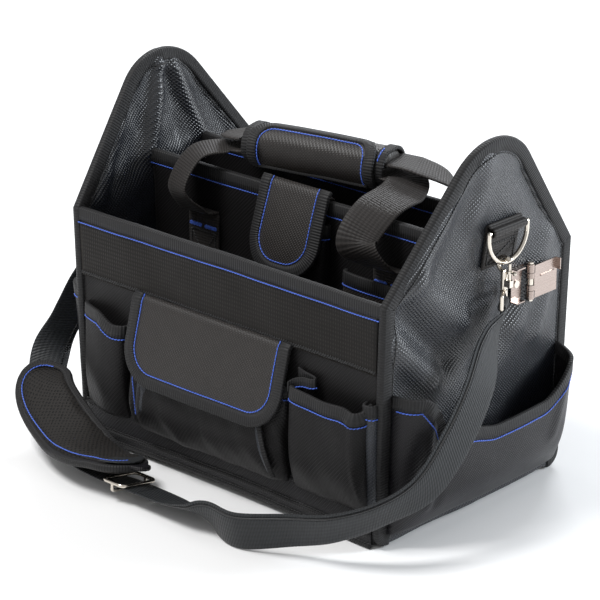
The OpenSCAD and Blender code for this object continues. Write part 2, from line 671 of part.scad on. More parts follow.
// Jaw: sprung plate standing off the bag, with an embossed bar and a turned-out lip
module clip_jaw() {
    side = (jaw_span - spring_h) / 2 - jaw_gap;
    plate_x = knuckle_x + knuckle_r - sheet_t;
    plate_y = knuckle_y + 1;
    plate_len = clip_y + clip_len - plate_y;
    color("#cdb9a6") difference() {
        union() {
            for (z = [jaw_low, jaw_low + jaw_span - side]) knuckle(z, side);
            translate([plate_x, plate_y, clip_z + 1]) cube([sheet_t, plate_len, clip_h - 2]);
            translate([plate_x, plate_y + plate_len - sheet_t, clip_z + clip_h - 12])
                cube([6, sheet_t, 11]);
            translate([plate_x + sheet_t - 0.4, plate_y + 9, clip_z + clip_h * 0.6]) cube([1.2, 20, 1.6]);
        }
        translate([knuckle_x, knuckle_y, clip_z]) cylinder(r = clip_pin_r + fit, h = clip_h);
        // relief for the base's barrels and the spring
        for (z = [clip_z - 1, clip_z + clip_h - barrel - jaw_gap]) translate([knuckle_x, knuckle_y, z])
            cylinder(r = knuckle_r + jaw_gap, h = barrel + jaw_gap + 1);
        translate([knuckle_x, knuckle_y, clip_z + clip_h / 2 - spring_h / 2 - jaw_gap])
            cylinder(r = 3.1 + jaw_gap, h = spring_h + 2 * jaw_gap);
    }
}

base_board();
bottom_panel();
front_wall();
rear_wall();
left_end_panel();
right_end_panel();
front_rim_binding();
rear_rim_binding();
left_end_binding();
right_end_binding();
front_band();
base_binding();
front_divider();
rear_divider();
front_divider_binding();
rear_divider_binding();
left_front_pocket();
centre_front_pocket();
right_front_pocket();
left_end_pocket();
right_end_pocket();
inner_pocket();
inner_low_pocket();
flap_loop_patch();
front_flap();
flap_hook_patch();
inner_flap();
inner_flap_saddle();
front_handle_roots();
rear_handle_roots();
front_handle_strap();
rear_handle_strap();
handle_grip();
grip_flap();
left_ring_tab();
right_ring_tab();
left_d_ring();
right_d_ring();
left_swivel_eye();
right_swivel_eye();
left_snap_hook();
right_snap_hook();
left_hook_bolt();
right_hook_bolt();
left_strap_end();
right_strap_end();
shoulder_strap_right();
shoulder_strap_left();
shoulder_pad();
strap_slider();
clip_base();
clip_rivets();
clip_pin();
clip_spring();
clip_jaw();
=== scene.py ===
"""Looks of the garden tool bag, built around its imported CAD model.

Lengths are in millimetres until a mesh is made, where MM turns them into metres.
"""
import math

import bmesh
import bpy
import numpy as np
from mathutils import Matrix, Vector
from mathutils.kdtree import KDTree


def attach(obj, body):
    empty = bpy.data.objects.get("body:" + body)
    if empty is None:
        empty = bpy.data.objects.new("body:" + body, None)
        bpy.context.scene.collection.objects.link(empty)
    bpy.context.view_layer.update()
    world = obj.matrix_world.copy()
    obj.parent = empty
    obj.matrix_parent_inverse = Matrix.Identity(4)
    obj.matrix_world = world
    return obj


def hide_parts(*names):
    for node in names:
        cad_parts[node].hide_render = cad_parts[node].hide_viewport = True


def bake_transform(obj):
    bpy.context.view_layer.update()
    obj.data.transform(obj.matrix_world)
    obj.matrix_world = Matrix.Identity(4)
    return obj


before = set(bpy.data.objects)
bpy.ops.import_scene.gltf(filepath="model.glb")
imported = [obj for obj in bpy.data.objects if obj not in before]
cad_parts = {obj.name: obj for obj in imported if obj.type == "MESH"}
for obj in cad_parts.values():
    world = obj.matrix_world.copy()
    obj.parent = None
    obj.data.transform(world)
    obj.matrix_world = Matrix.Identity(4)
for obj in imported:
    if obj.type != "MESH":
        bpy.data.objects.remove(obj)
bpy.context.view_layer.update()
MM = 0.001

# ---------- driving dimensions, the same as the CAD model's ----------
HALF_LEN = 200.0
HALF_BASE = 193.0
HALF_DEPTH = 130.0
WALL_H = 236.0
GABLE_H = 364.0
GABLE_R = 60.0
LEAN = 16.0
PANEL_T = 6.0
WALL_T = 5.0
TAPE_W = 11.0
DIVIDER_H = 271.0
FRONT_DIV_Y = -27.0
REAR_DIV_Y = 44.0
STRAP_W = 38.0
STRAP_T = 3.4
HANDLE_W = 40.0
PAD_W = 64.0
PAD_T = 11.0
FRONT_Y = -HALF_DEPTH
STITCH_PITCH = 3.3
THREAD_R = 0.62
UP = np.array([0, 0, 1.0])


def end_x(z):
    """Outside face of an end panel at height z."""
    z = np.asarray(z, float)
    low = HALF_BASE + (HALF_LEN - HALF_BASE) * z / WALL_H
    high = HALF_LEN + LEAN * (z - WALL_H) / (GABLE_H - WALL_H)
    return np.where(z <= WALL_H, low, high)


# ---------- curves and small vector tools ----------

def unit(v):
    v = np.asarray(v, float)
    return v / np.maximum(np.linalg.norm(v, axis=-1, keepdims=True), 1e-9)


def smooth(marks, n=8):
    """A smooth curve through given marks, with n steps from each mark to the next."""
    m = np.array(marks, float)
    last = len(m) - 1
    out = []
    for i in range(last):
        a, b, c, d = m[max(i - 1, 0)], m[i], m[i + 1], m[min(i + 2, last)]
        for k in range(n):
            t = k / n
            out.append(0.5 * (2 * b + (c - a) * t + (2 * a - 5 * b + 4 * c - d) * t * t
                              + (3 * b - a - 3 * c + d) * t ** 3))
    return np.array(out + [m[last]])


def lengths(path):
    """Distance along a path at each of its points."""
    step = np.linalg.norm(np.diff(path, axis=0), axis=1)
    return np.concatenate([[0], np.cumsum(step)])


def resample(path, count, *more):
    """The path with count evenly spaced points; more are arrays carried along with it."""
    s = lengths(path[:, :3])
    at = np.linspace(0, s[-1], count)
    evened = [np.stack([np.interp(at, s, column) for column in a.T], 1) for a in (path, *more)]
    return evened if more else evened[0]


def tangents(path):
    return unit(np.gradient(path, axis=0))


def arc(cx, cy, r, a0, a1, n=10):
    a = np.radians(np.linspace(a0, a1, n + 1))
    return np.stack([cx + r * np.cos(a), cy + r * np.sin(a)], 1)


CIRCLE = arc(0, 0, 1, 0, 330, 11)


def repeat(v, count):
    """The same vector count times."""
    return np.tile(np.asarray(v, float), (count, 1))


def zigzag(count):
    """1 and -1 by turns."""
    return np.where(np.arange(count) % 2, 1, -1)


def hump(t, centre, width):
    """A smooth bump of height 1 at centre."""
    return np.exp(-((t - centre) / width) ** 2)


def ridge(a, b, p0, p1, width):
    """A crease of height 1 along the line from p0 to p1, in the plane (a, b)."""
    p0, p1 = np.array(p0, float), np.array(p1, float)
    d = p1 - p0
    t = np.clip(((a - p0[0]) * d[0] + (b - p0[1]) * d[1]) / (d @ d), 0, 1)
    far = np.hypot(a - p0[0] - t * d[0], b - p0[1] - t * d[1])
    return np.exp(-(far / width) ** 2)


# ---------- materials ----------

def nodes_of(name):
    mat = bpy.data.materials.new(name)
    mat.use_nodes = True
    tree = mat.node_tree
    return mat, tree, tree.nodes["Principled BSDF"]


def link(tree, a, b):
    tree.links.new(a, b)


def math_node(tree, op, a, b=None):
    node = tree.nodes.new("ShaderNodeMath")
    node.operation = op
    for k, v in enumerate((a, b)):
        if v is None:
            continue
        if isinstance(v, (int, float)):
            node.inputs[k].default_value = v
        else:
            link(tree, v, node.inputs[k])
    return node.outputs[0]


def cloth_coords(tree):
    """Flat cloth coordinates in metres, stored with each swept or laid piece."""
    node = tree.nodes.new("ShaderNodeAttribute")
    node.attribute_name = "cloth"
    return node.outputs["Vector"]


def object_coords(tree):
    return tree.nodes.new("ShaderNodeTexCoord").outputs["Object"]


def axes_of(tree, coords):
    split = tree.nodes.new("ShaderNodeSeparateXYZ")
    link(tree, coords, split.inputs[0])
    return split.outputs[0], split.outputs[1]


def tune(node, **values):
    """Sets a node's inputs; an underscore in a name stands for a space."""
    for word, value in values.items():
        node.inputs[word.replace("_", " ")].default_value = value


def wave(tree, value, pitch):
    """A wave from 0 to 1 with that pitch in metres."""
    s = math_node(tree, "SINE", math_node(tree, "MULTIPLY", value, 2 * math.pi / pitch))
    return math_node(tree, "ADD", math_node(tree, "MULTIPLY", s, 0.5), 0.5)


def weigh(tree, a, share_a, b, share_b):
    """The sum of two values, each times its share."""
    first = math_node(tree, "MULTIPLY", a, share_a)
    return math_node(tree, "ADD", first, math_node(tree, "MULTIPLY", b, share_b))


def noise(tree, coords, scale, detail=3.0):
    node = tree.nodes.new("ShaderNodeTexNoise")
    tune(node, Scale=scale, Detail=detail)
    link(tree, coords, node.inputs["Vector"])
    return node.outputs["Fac"]


def shade(tree, bsdf, fac, color, dark, light):
    """Base colour from a darker to a lighter tone of color, as fac goes from 0 to 1."""
    node = tree.nodes.new("ShaderNodeMix")
    node.data_type = "RGBA"
    for socket, k in ((6, dark), (7, light)):
        node.inputs[socket].default_value = (*(c * k for c in color), 1)
    link(tree, fac, node.inputs[0])
    link(tree, node.outputs[2], bsdf.inputs["Base Color"])


def map_range(tree, value, **limits):
    node = tree.nodes.new("ShaderNodeMapRange")
    tune(node, **limits)
    link(tree, value, node.inputs["Value"])
    return node.outputs[0]


def bump(tree, height, distance, strength, under=None):
    node = tree.nodes.new("ShaderNodeBump")
    tune(node, Distance=distance, Strength=strength)
    link(tree, height, node.inputs["Height"])
    if under is not None:
        link(tree, under, node.inputs["Normal"])
    return node.outputs["Normal"]


def relief(tree, bsdf, *heights):
    """Bumps of (height, distance, strength), each laid over the one before it."""
    normal = None
    for height, distance, strength in heights:
        normal = bump(tree, height, distance, strength, normal)
    link(tree, normal, bsdf.inputs["Normal"])


def woven(name, color, pitch, shine, rough, sheen, tint=(0.6, 0.65, 0.8), diagonal=True, depth=0.0004):
    """Plain or diagonal weave with slow colour variation; its high spots are painted lighter as painted
    highlight, its hollows darker as painted shade.
    """
    mat, tree, bsdf = nodes_of(name)
    coords = cloth_coords(tree)
    a, b = axes_of(tree, coords)
    if diagonal:
        a, b = math_node(tree, "ADD", a, b), math_node(tree, "SUBTRACT", a, b)
    weave = math_node(tree, "MULTIPLY", wave(tree, a, pitch), wave(tree, b, pitch * 1.35))
    # Base colour: painted highlight on the weave's high spots and painted shade in its hollows, mixed with
    # the cloth's own slow colour noise
    shade(tree, bsdf, weigh(tree, weave, 0.75, noise(tree, coords, 60, 5), 0.35), color, 0.25, 2.1)
    worn = map_range(tree, noise(tree, coords, 14, 4), To_Min=rough - 0.12, To_Max=rough + 0.12)
    link(tree, worn, bsdf.inputs["Roughness"])
    relief(tree, bsdf, (weave, depth, 0.8), (noise(tree, coords, 25, 3), 0.0012, 0.35))
    tune(bsdf, Specular_IOR_Level=shine, Sheen_Weight=sheen, Sheen_Roughness=0.45, Sheen_Tint=(*tint, 1))
    return mat


def ribbed(name, color, pitch, shine, rough=0.6, sheen=0.03, across=0.0):
    """Ribbed tape or webbing: ribs across its length and a finer cord along it."""
    mat, tree, bsdf = nodes_of(name)
    coords = cloth_coords(tree)
    u, v = axes_of(tree, coords)
    ribs = wave(tree, math_node(tree, "ADD", v, math_node(tree, "MULTIPLY", u, across)), pitch)
    height = weigh(tree, ribs, 0.75, wave(tree, u, pitch * 1.6), 0.25)
    # Base colour: rib and cord tops painted lighter as painted highlight, the grooves darker as painted
    # shade, mixed with colour noise
    shade(tree, bsdf, weigh(tree, height, 0.7, noise(tree, coords, 90, 4), 0.4), color, 0.3, 2.0)
    relief(tree, bsdf, (height, 0.0005, 0.9))
    tune(bsdf, Roughness=rough, Specular_IOR_Level=shine, Sheen_Weight=sheen, Sheen_Roughness=0.5)
    return mat


def spacer_mesh(name, color, pitch):
    """Open-hole spacer mesh: rows of small round holes, staggered."""
    mat, tree, bsdf = nodes_of(name)
    u, v = axes_of(tree, cloth_coords(tree))
    a = wave(tree, math_node(tree, "ADD", u, v), pitch)
    b = wave(tree, math_node(tree, "SUBTRACT", u, v), pitch)
    holes = map_range(tree, math_node(tree, "MULTIPLY", a, b), From_Min=0.35, From_Max=0.65)
    # Base colour: the holes are painted near black, painted shade inside them; the mesh between them is
    # lighter
    shade(tree, bsdf, holes, color, 2.1, 0.08)
    relief(tree, bsdf, (math_node(tree, "SUBTRACT", 1.0, holes), 0.0016, 1.0))
    tune(bsdf, Roughness=0.7, Specular_IOR_Level=0.3, Sheen_Weight=0.03)
    return mat


def pile(name, color):
    """Hook or loop pile."""
    mat, tree, bsdf = nodes_of(name)
    fluff = noise(tree, cloth_coords(tree), 1400, 2)
    shade(tree, bsdf, fluff, color, 0.4, 2.2)
    relief(tree, bsdf, (fluff, 0.001, 1.0))
    tune(bsdf, Roughness=0.9, Sheen_Weight=0.5)
    return mat


def thread(name, color):
    """Twisted sewing thread."""
    mat, tree, bsdf = nodes_of(name)
    shade(tree, bsdf, noise(tree, object_coords(tree), 900, 2), color, 0.55, 1.35)
    tune(bsdf, Roughness=0.45, Sheen_Weight=0.2)
    return mat


def metal(name, color, rough, brushed=False):
    """Plated metal with faint smears, and a drawn grain where it is brushed."""
    mat, tree, bsdf = nodes_of(name)
    stretch = tree.nodes.new("ShaderNodeMapping")
    tune(stretch, Scale=(40, 40, 900) if brushed else (120, 120, 120))
    link(tree, object_coords(tree), stretch.inputs["Vector"])
    smear = noise(tree, stretch.outputs[0], 1.0, 4)
    link(tree, map_range(tree, smear, To_Min=rough * 0.7, To_Max=rough * 1.5), bsdf.inputs["Roughness"])
    shade(tree, bsdf, smear, color, 0.85, 1.08)
    relief(tree, bsdf, (smear, 0.00005, 0.25))
    tune(bsdf, Metallic=1.0)
    return mat


def board_plastic(name, color):
    mat, tree, bsdf = nodes_of(name)
    grain = noise(tree, object_coords(tree), 500, 3)
    shade(tree, bsdf, grain, color, 0.7, 1.4)
    relief(tree, bsdf, (grain, 0.0003, 0.5))
    tune(bsdf, Roughness=0.6)
    return mat


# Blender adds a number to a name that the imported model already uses
MATS = {mat.name.split(".")[0]: mat for mat in (
    woven("end_fabric", (0.0095, 0.0112, 0.0155), 0.0033, 0.80, 0.32, 0.03, (0.55, 0.65, 0.9), depth=0.0007),
    # The gusset cloth is much lighter than the bag's other black cloth: the extra lightness is painted
    # highlight, so the pleats, crumples and gusset strip made of it look lit
    woven("lit_gusset_fabric", (0.026, 0.030, 0.038), 0.0026, 0.5, 0.42, 0.05, depth=0.0005),
    woven("wall_fabric", (0.0056, 0.0050, 0.0054), 0.0029, 0.26, 0.50, 0.02, (0.7, 0.68, 0.7)),
    woven("flap_fabric", (0.0165, 0.0135, 0.012), 0.0028, 0.48, 0.46, 0.05, (0.8, 0.74, 0.68)),
    woven("band_fabric", (0.0068, 0.0056, 0.0048), 0.0030, 0.22, 0.55, 0.03, (0.8, 0.7, 0.6), diagonal=False),
    woven("base_fabric", (0.0078, 0.0070, 0.0088), 0.0029, 0.34, 0.42, 0.02),
    ribbed("binding", (0.0080, 0.0078, 0.0084), 0.0027, 0.36),
    ribbed("handle_webbing", (0.0145, 0.0122, 0.0112), 0.0027, 0.35, 0.6, 0.06),
    ribbed("strap_webbing", (0.0090, 0.0105, 0.0122), 0.0029, 0.38, 0.52, 0.06, across=0.5),
    spacer_mesh("pad_mesh", (0.0060, 0.0050, 0.0043), 0.0052),
    pile("hook_and_loop", (0.008, 0.008, 0.009)),
    thread("blue_thread", (0.055, 0.145, 0.68)),
    thread("black_thread", (0.006, 0.006, 0.007)),
    metal("nickel", (0.72, 0.66, 0.58), 0.14),
    metal("clip_nickel", (0.42, 0.345, 0.31), 0.25, brushed=True),
    board_plastic("board", (0.018, 0.018, 0.020)))}


# ---------- making meshes ----------

def put(name, data):
    """A new object in the scene."""
    obj = bpy.data.objects.new(name, data)
    bpy.context.scene.collection.objects.link(obj)
    return obj


def piece(name, verts, faces, mat, cloth=None, body="bag", stands_for=(), ride=True):
    """A mesh from points in millimetres, with its material, its body and the nodes it stands for."""
    mesh = bpy.data.meshes.new(name)
    mesh.from_pydata((np.asarray(verts) * MM).tolist(), [], [list(map(int, f)) for f in faces])
    mesh.update()
    if cloth is not None:
        data = mesh.attributes.new("cloth", "FLOAT_VECTOR", "POINT")
        flat = np.zeros((len(verts), 3), np.float32)
        flat[:, :np.asarray(cloth).shape[1]] = np.asarray(cloth) * MM
        data.data.foreach_set("vector", flat.ravel())
    bm = bmesh.new()
    bm.from_mesh(mesh)
    bmesh.ops.recalc_face_normals(bm, faces=bm.faces)
    bm.to_mesh(mesh)
    bm.free()
    mesh.shade_smooth()
    mesh.materials.append(MATS[mat])
    obj = put(name, mesh)
    if ride:
        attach(obj, body)
    if stands_for:
        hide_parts(*stands_for)
    return obj


def grid_faces(rows, cols, closed=False):
    out = []
    for i in range(rows - 1):
        for j in range(cols if closed else cols - 1):
            k = (j + 1) % cols
            out.append((i * cols + j, i * cols + k, (i + 1) * cols + k, (i + 1) * cols + j))
    return out


def caps(rings, sides):
    """The two end faces of a tube of rings."""
    return [tuple(range(sides - 1, -1, -1)), tuple((rings - 1) * sides + j for j in range(sides))]


def shell(top, low):
    """Points and faces of the closed form between two grids of points."""
    rows, cols = top.shape[:2]
    count = rows * cols
    over = grid_faces(rows, cols)
    under = [(d + count, c + count, b + count, a + count) for a, b, c, d in over]
    rim = (list(range(cols)) + [i * cols + cols - 1 for i in range(1, rows)]
           + [(rows - 1) * cols + j for j in range(cols - 2, -1, -1)]
           + [i * cols for i in range(rows - 2, 0, -1)])
    wall = [(a, b, b + count, a + count) for a, b in zip(rim, rim[1:] + rim[:1])]
    return np.concatenate([top.reshape(-1, 3), low.reshape(-1, 3)]), over + under + wall


def sheet(name, p, t, mat, flat=None, **kw):
    """A closed sheet of thickness t round the grid of points p, thinner at its edges.

    flat holds each point's place on the flat cloth, measured along the sheet when it is left out.
    """
    p = np.asarray(p, float)
    rows, cols = p.shape[:2]
    n = unit(np.cross(np.gradient(p, axis=0), np.gradient(p, axis=1)))
    half = np.full((rows, cols), t / 2)
    edge = 0.45
    half[[0, -1], :] *= edge
    half[:, [0, -1]] *= edge
    u, v = np.zeros((2, rows, cols)) if flat is None else flat
    if flat is None:
        u[:, 1:] = np.cumsum(np.linalg.norm(np.diff(p, axis=1), axis=2), axis=1)
        v[1:, :] = np.cumsum(np.linalg.norm(np.diff(p, axis=0), axis=2), axis=0)
    cloth = np.stack([u.ravel(), v.ravel()], 1)
    verts, faces = shell(p + n * half[..., None], p - n * half[..., None])
    return piece(name, verts, faces, mat, np.concatenate([cloth, cloth]), **kw)


def swept(name, mat, profile, path, a_dir, b_dir, closed=False, **kw):
    """A closed profile of (a, b) points carried along a path, with capped ends unless it is a loop."""
    k, n = len(profile), len(path)
    v = (path[:, None, :] + a_dir[:, None, :] * profile[None, :, 0, None]
         + b_dir[:, None, :] * profile[None, :, 1, None]).reshape(-1, 3)
    faces = grid_faces(n, k, closed=True)
    if closed:
        faces += [((n - 1) * k + j, (n - 1) * k + (j + 1) % k, (j + 1) % k, j) for j in range(k)]
    else:
        faces += caps(n, k)
    around = lengths(np.concatenate([profile, profile[:1]]))[:-1]
    cloth = np.stack([np.tile(around, n), np.repeat(lengths(path), k)], 1)
    return piece(name, v, faces, mat, cloth, **kw)


def tape_profile(w, half):
    """Folded tape round an edge: flat sides w deep, round over the edge, soft inner lips."""
    over = arc(0, 0, half, 90, 270, 6) * [0.55, 1]
    sides = [[w * 0.5, -half], [w - 0.5, -half], [w, -half + 0.7], [w, half - 0.7], [w - 0.5, half],
             [w * 0.5, half]]
    return np.concatenate([over, sides])


def binding(name, path, inward, normal, half, w=TAPE_W, **kw):
    """Folded tape along an edge: inward points into the cloth, normal out of its face."""
    return swept(name, "binding", tape_profile(w, half), path, unit(inward), unit(normal), **kw)


def stitches(name, path, normal, mat="blue_thread", pitch=STITCH_PITCH, r=THREAD_R, yaw=9.0, **kw):
    """A row of thread stitches along a path, each a small rounded lozenge lying on the cloth."""
    count = max(2, int(lengths(path)[-1] / pitch))
    lift = 0.35
    spots, up = resample(path, count * 2 + 1, normal)
    mid, n = spots[1::2], unit(up[1::2])
    d = unit(spots[2::2] - spots[:-1:2])
    side = unit(np.cross(n, d))
    turn = math.radians(yaw)
    d = unit(d * math.cos(turn) + side * math.sin(turn))
    side = unit(np.cross(n, d))
    at, size = np.array([(-0.50, 0.35), (-0.36, 0.9), (0.0, 1.0), (0.36, 0.9), (0.50, 0.35)]).T[..., None]
    sides = 6
    around = 2 * math.pi * np.arange(sides) / sides
    spread = ((d, at * pitch + 0 * around), (side, r * size * np.cos(around)),
              (n, lift - 0.5 * np.abs(at) + r * size * np.sin(around)))
    verts = mid[:, None, None] + sum(v[:, None, None] * k[..., None] for v, k in spread)
    one = grid_faces(len(at), sides, closed=True) + caps(len(at), sides)
    faces = [tuple(k * len(at) * sides + q for q in f) for k in range(len(mid)) for f in one]
    return piece(name, verts.reshape(-1, 3), faces, mat, **kw)


def facing(n, way):
    """Normals turned to point the given way."""
    n = np.array(n, float)
    flip = (n @ np.asarray(way, float)) < 0
    n[flip] *= -1
    return n


# ---------- webbing ribbons ----------

def ribbon_frames(marks, n, width):
    """Centre, width direction, face normal and half width along marks, some with a width of their own."""
    r = smooth([m + [width] if len(m) == 5 else m for m in marks], n)
    c = r[:, :3]
    turn, rise = np.radians(r[:, 3]), np.radians(r[:, 4])
    w = np.stack([np.cos(turn) * np.cos(rise), np.sin(turn) * np.cos(rise), np.sin(rise)], 1)
    d = tangents(c)
    w = unit(w - d * np.sum(d * w, 1, keepdims=True))
    return c, w, np.cross(d, w), r[:, 5] / 2


def webbing(name, c, w, n, half, t, mat, **kw):
    """Flat webbing with soft edges, from its frames along the run."""
    across = np.array([-1, -0.93, -0.6, 0, 0.6, 0.93, 1.0])
    face = (t / 2 * np.array([0.5, 0.95, 1, 1, 1, 0.95, 0.5]))[None, :, None]
    u = half[:, None] * across
    k = 2 * len(across)
    mid = c[:, None] + w[:, None] * u[..., None]
    ring = np.concatenate([mid + n[:, None] * face, (mid - n[:, None] * face)[:, ::-1]], 1)
    round_it = np.concatenate([u, half[:, None] * across[::-1]], 1).ravel()
    cloth = np.stack([round_it, np.repeat(lengths(c), k)], 1)
    faces = grid_faces(len(c), k, closed=True) + caps(len(c), k)
    return piece(name, ring.reshape(-1, 3), faces, mat, cloth, **kw)


# ---------- cloth panels: place(a, b) puts flat cloth coordinates into the bag ----------

def ripple(a, b, scale, k=0.0):
    """Small smooth wrinkles between about -1 and 1, the same every time."""
    a, b = a / scale, b / scale
    return (np.sin(a * 1.7 + b * 0.9 + k) + np.sin(a * 0.8 - b * 1.6 + 2.1 * k)
            + 0.5 * np.sin(a * 3.1 + b * 2.3 + 3.3 * k)) / 2.5


def ease(t):
    t = np.clip(t, 0, 1)
    return t * t * (3 - 2 * t)


def inset(path, d):
    """A flat path moved d to its left."""
    t = tangents(path)
    return path + d * np.stack([-t[:, 1], t[:, 0]], 1)


def refine(path, step=2.5):
    """The flat path with points about step apart."""
    return resample(np.asarray(path, float), max(3, int(lengths(np.asarray(path, float))[-1] / step)))


def lay(place, path, lift=0.0, side=1):
    """Points and normals of a flat path laid on the cloth, lift above its middle surface."""
    a, b = path[:, 0], path[:, 1]
    e = 0.6
    n = unit(np.cross(place(a + e, b) - place(a - e, b), place(a, b + e) - place(a, b - e))) * side
    return place(a, b) + n * lift, n


def edge_tape(name, place, path, half, w=TAPE_W, step=2.5, **kw):
    """Folded tape over the edge of a panel; the panel is to the left of the path."""
    path = refine(path, step)
    p, n = lay(place, path)
    q, _ = lay(place, inset(path, 2.0))
    return binding(name, p, q - p, n, half, w=w, **kw)


def seam(name, place, path, lift, side=1, mat="blue_thread", **kw):
    """A row of stitches along a flat path, on the side of the cloth that side picks."""
    p, n = lay(place, refine(path, 2.0), lift, side)
    return stitches(name, p, n, mat, **kw)


def rows_grid(bs, half, cols, centre=0.0):
    """Flat grid of rows at heights bs, each from centre - half to centre + half."""
    s = np.linspace(-1, 1, cols)
    bs, half = np.asarray(bs, float), np.asarray(half, float)
    return centre + half[:, None] * s[None], np.repeat(bs[:, None], cols, 1)


# ---------- body of the bag ----------

def gable_profile():
    """Half width and height up the edge of an end panel, from the floor to near the apex."""
    corner = arc(HALF_DEPTH - 14, 17, 14, -90, 0, 7)
    side = np.stack([np.full(40, HALF_DEPTH), np.linspace(22, WALL_H, 40)], 1)
    cz = GABLE_H - GABLE_R
    start = math.degrees(math.atan2(-(cz - WALL_H), HALF_DEPTH)
                         + math.acos(GABLE_R / math.hypot(HALF_DEPTH, cz - WALL_H)))
    top = arc(0, cz, GABLE_R, start, 86, 12)
    slope = np.linspace([HALF_DEPTH, WALL_H], top[0], 20)[1:-1]
    return np.concatenate([corner, side, slope, top])


PROFILE = gable_profile()


def edge_fade(a, b, span=26.0):
    """0 at an end panel's edge, 1 from span inside it."""
    half = np.interp(b, PROFILE[:, 1], PROFILE[:, 0])
    return ease((half - np.abs(a)) / span)


def right_folds(a, b):
    return (11.0 * ridge(a, b, (-124, 200), (-66, 150), 13) - 9.0 * ridge(a, b, (-108, 224), (-46, 160), 14)
            + 9.0 * ridge(a, b, (-92, 248), (-26, 190), 16) + 6.0 * ridge(a, b, (-92, 262), (-52, 330), 14)
            - 5.0 * ridge(a, b, (-60, 250), (-26, 318), 14) + 5.0 * ridge(a, b, (-20, 296), (-12, 342), 13)
            + 8.0 * ridge(a, b, (90, 244), (52, 172), 15) - 6.5 * ridge(a, b, (46, 196), (6, 140), 15)
            + 6.0 * ridge(a, b, (104, 216), (82, 154), 11) - 4.0 * ridge(a, b, (84, 286), (48, 322), 13)
            + 2.2 * ripple(a, b, 40, 0.7) + 0.4 * ripple(a, b, 13, 1.9))


def left_folds(a, b):
    return (-8.0 * ridge(a, b, (-27, 268), (-4, 350), 7) + 6.0 * ridge(a, b, (-52, 262), (-18, 344), 12)
            - 7.0 * ridge(a, b, (44, 270), (14, 344), 8) + 5.5 * ridge(a, b, (12, 280), (4, 336), 12)
            - 4.5 * ridge(a, b, (-100, 240), (-62, 300), 11) + 4.5 * ridge(a, b, (-82, 250), (-40, 330), 9)
            + 4.4 * ridge(a, b, (84, 252), (50, 318), 12)
            + 2.2 * ripple(a, b, 30, 2.2) + 0.8 * ripple(a, b, 8, 0.4))


def end_place(side, folds):
    def place(a, b):
        x = end_x(b) - PANEL_T / 2 + folds(a, b) * edge_fade(a, b) * 0.8
        return np.stack([side * x, a, b], -1)
    return place


def end_panel(word, side, folds):
    place = end_place(side, folds)
    a, b = rows_grid(PROFILE[:, 1], PROFILE[:, 0], 81)
    sheet(f"{word}_end_cloth", place(a, b), PANEL_T, "end_fabric", flat=(a, b),
          stands_for=[f"{word}_end_panel"])
    edge = np.concatenate([PROFILE, PROFILE[::-1] * [-1, 1]])
    edge_tape(f"{word}_end_tape", place, edge, PANEL_T / 2 + 1.2, stands_for=[f"{word}_end_binding"])
    inner = inset(refine(edge, 3), TAPE_W + 1.6)
    for k, face in ((0, 1), (1, -1)):
        seam(f"{word}_end_edge_seam_{k}", place, inner, PANEL_T / 2, face, "black_thread")


def wall_place(y0, wobble):
    def place(a, b):
        return np.stack([a, y0 + wobble(a, b), b], -1)
    return place


def wall(name, y0, z0, z1, t, mat, wobble, stands_for=(), cols=90, rows=44):
    """A panel across the bag between the end panels."""
    bs = np.linspace(z0, z1, rows)
    a, b = rows_grid(bs, end_x(bs) - PANEL_T - 0.2, cols)
    place = wall_place(y0, wobble)
    sheet(name, place(a, b), t, mat, flat=(a, b), stands_for=stands_for)
    return place


def rim(name, place, z, half_t, stands_for, over=0.0, over_side=0):
    """Folded tape and stitching along a wall's or divider's top edge; over lifts one side's stitches."""
    reach = float(end_x(z)) - PANEL_T - 0.4
    edge_tape(f"{name}_tape", place, [[reach, z], [-reach, z]], half_t + 1.2, stands_for=stands_for)
    for k in (1, -1):
        word = "front" if k > 0 else "rear"
        seam(f"{name}_seam_{word}", place, [[reach, z - TAPE_W - 1.6], [-reach, z - TAPE_W - 1.6]],
             half_t + (over if k == over_side else 0), k)


def flat_wobble(size, scale, k, top, dip=0.0):
    """Wrinkles that grow away from a wall's foot, with a slack dip out of plane in the middle."""
    def wobble(a, b):
        grow = ease((b - 10) / 60)
        return grow * (size * ripple(a, b, scale, k) + dip * np.cos(a / HALF_LEN * math.pi / 2) * (b / top))
    return wobble


end_panel("right", 1, right_folds)
end_panel("left", -1, left_folds)
front_wall = wall("front_wall_cloth", FRONT_Y + WALL_T / 2, 5, WALL_H, WALL_T, "wall_fabric",
                  flat_wobble(0.8, 30, 0.5, WALL_H, 1.5), ["front_wall"])
rear_wall = wall("rear_wall_cloth", HALF_DEPTH - WALL_T / 2, 5, WALL_H - 6, WALL_T, "wall_fabric",
                 flat_wobble(1.9, 40, 1.7, WALL_H, -3.0), ["rear_wall"])
rim("front_rim", front_wall, WALL_H, WALL_T / 2, ["front_rim_binding"], 1.9, 1)
rim("rear_rim", rear_wall, WALL_H - 6, WALL_T / 2, ["rear_rim_binding"])
front_div = wall("front_divider_cloth", FRONT_DIV_Y, 10, DIVIDER_H, WALL_T, "wall_fabric",
                 flat_wobble(0.8, 36, 2.9, DIVIDER_H), ["front_divider"])
rear_div = wall("rear_divider_cloth", REAR_DIV_Y, 10, DIVIDER_H + 1, WALL_T, "wall_fabric",
                flat_wobble(1.2, 38, 0.2, DIVIDER_H), ["rear_divider"])
rim("front_divider", front_div, DIVIDER_H, WALL_T / 2, ["front_divider_binding"])
rim("rear_divider", rear_div, DIVIDER_H + 1, WALL_T / 2, ["rear_divider_binding"])


def base_lift(a, b):
    """How far the front edge of the base is drawn up between the end panels."""
    return 6.0 * np.clip(1 - (a / 178) ** 2, 0, 1) * ease((-b - 60) / 65)


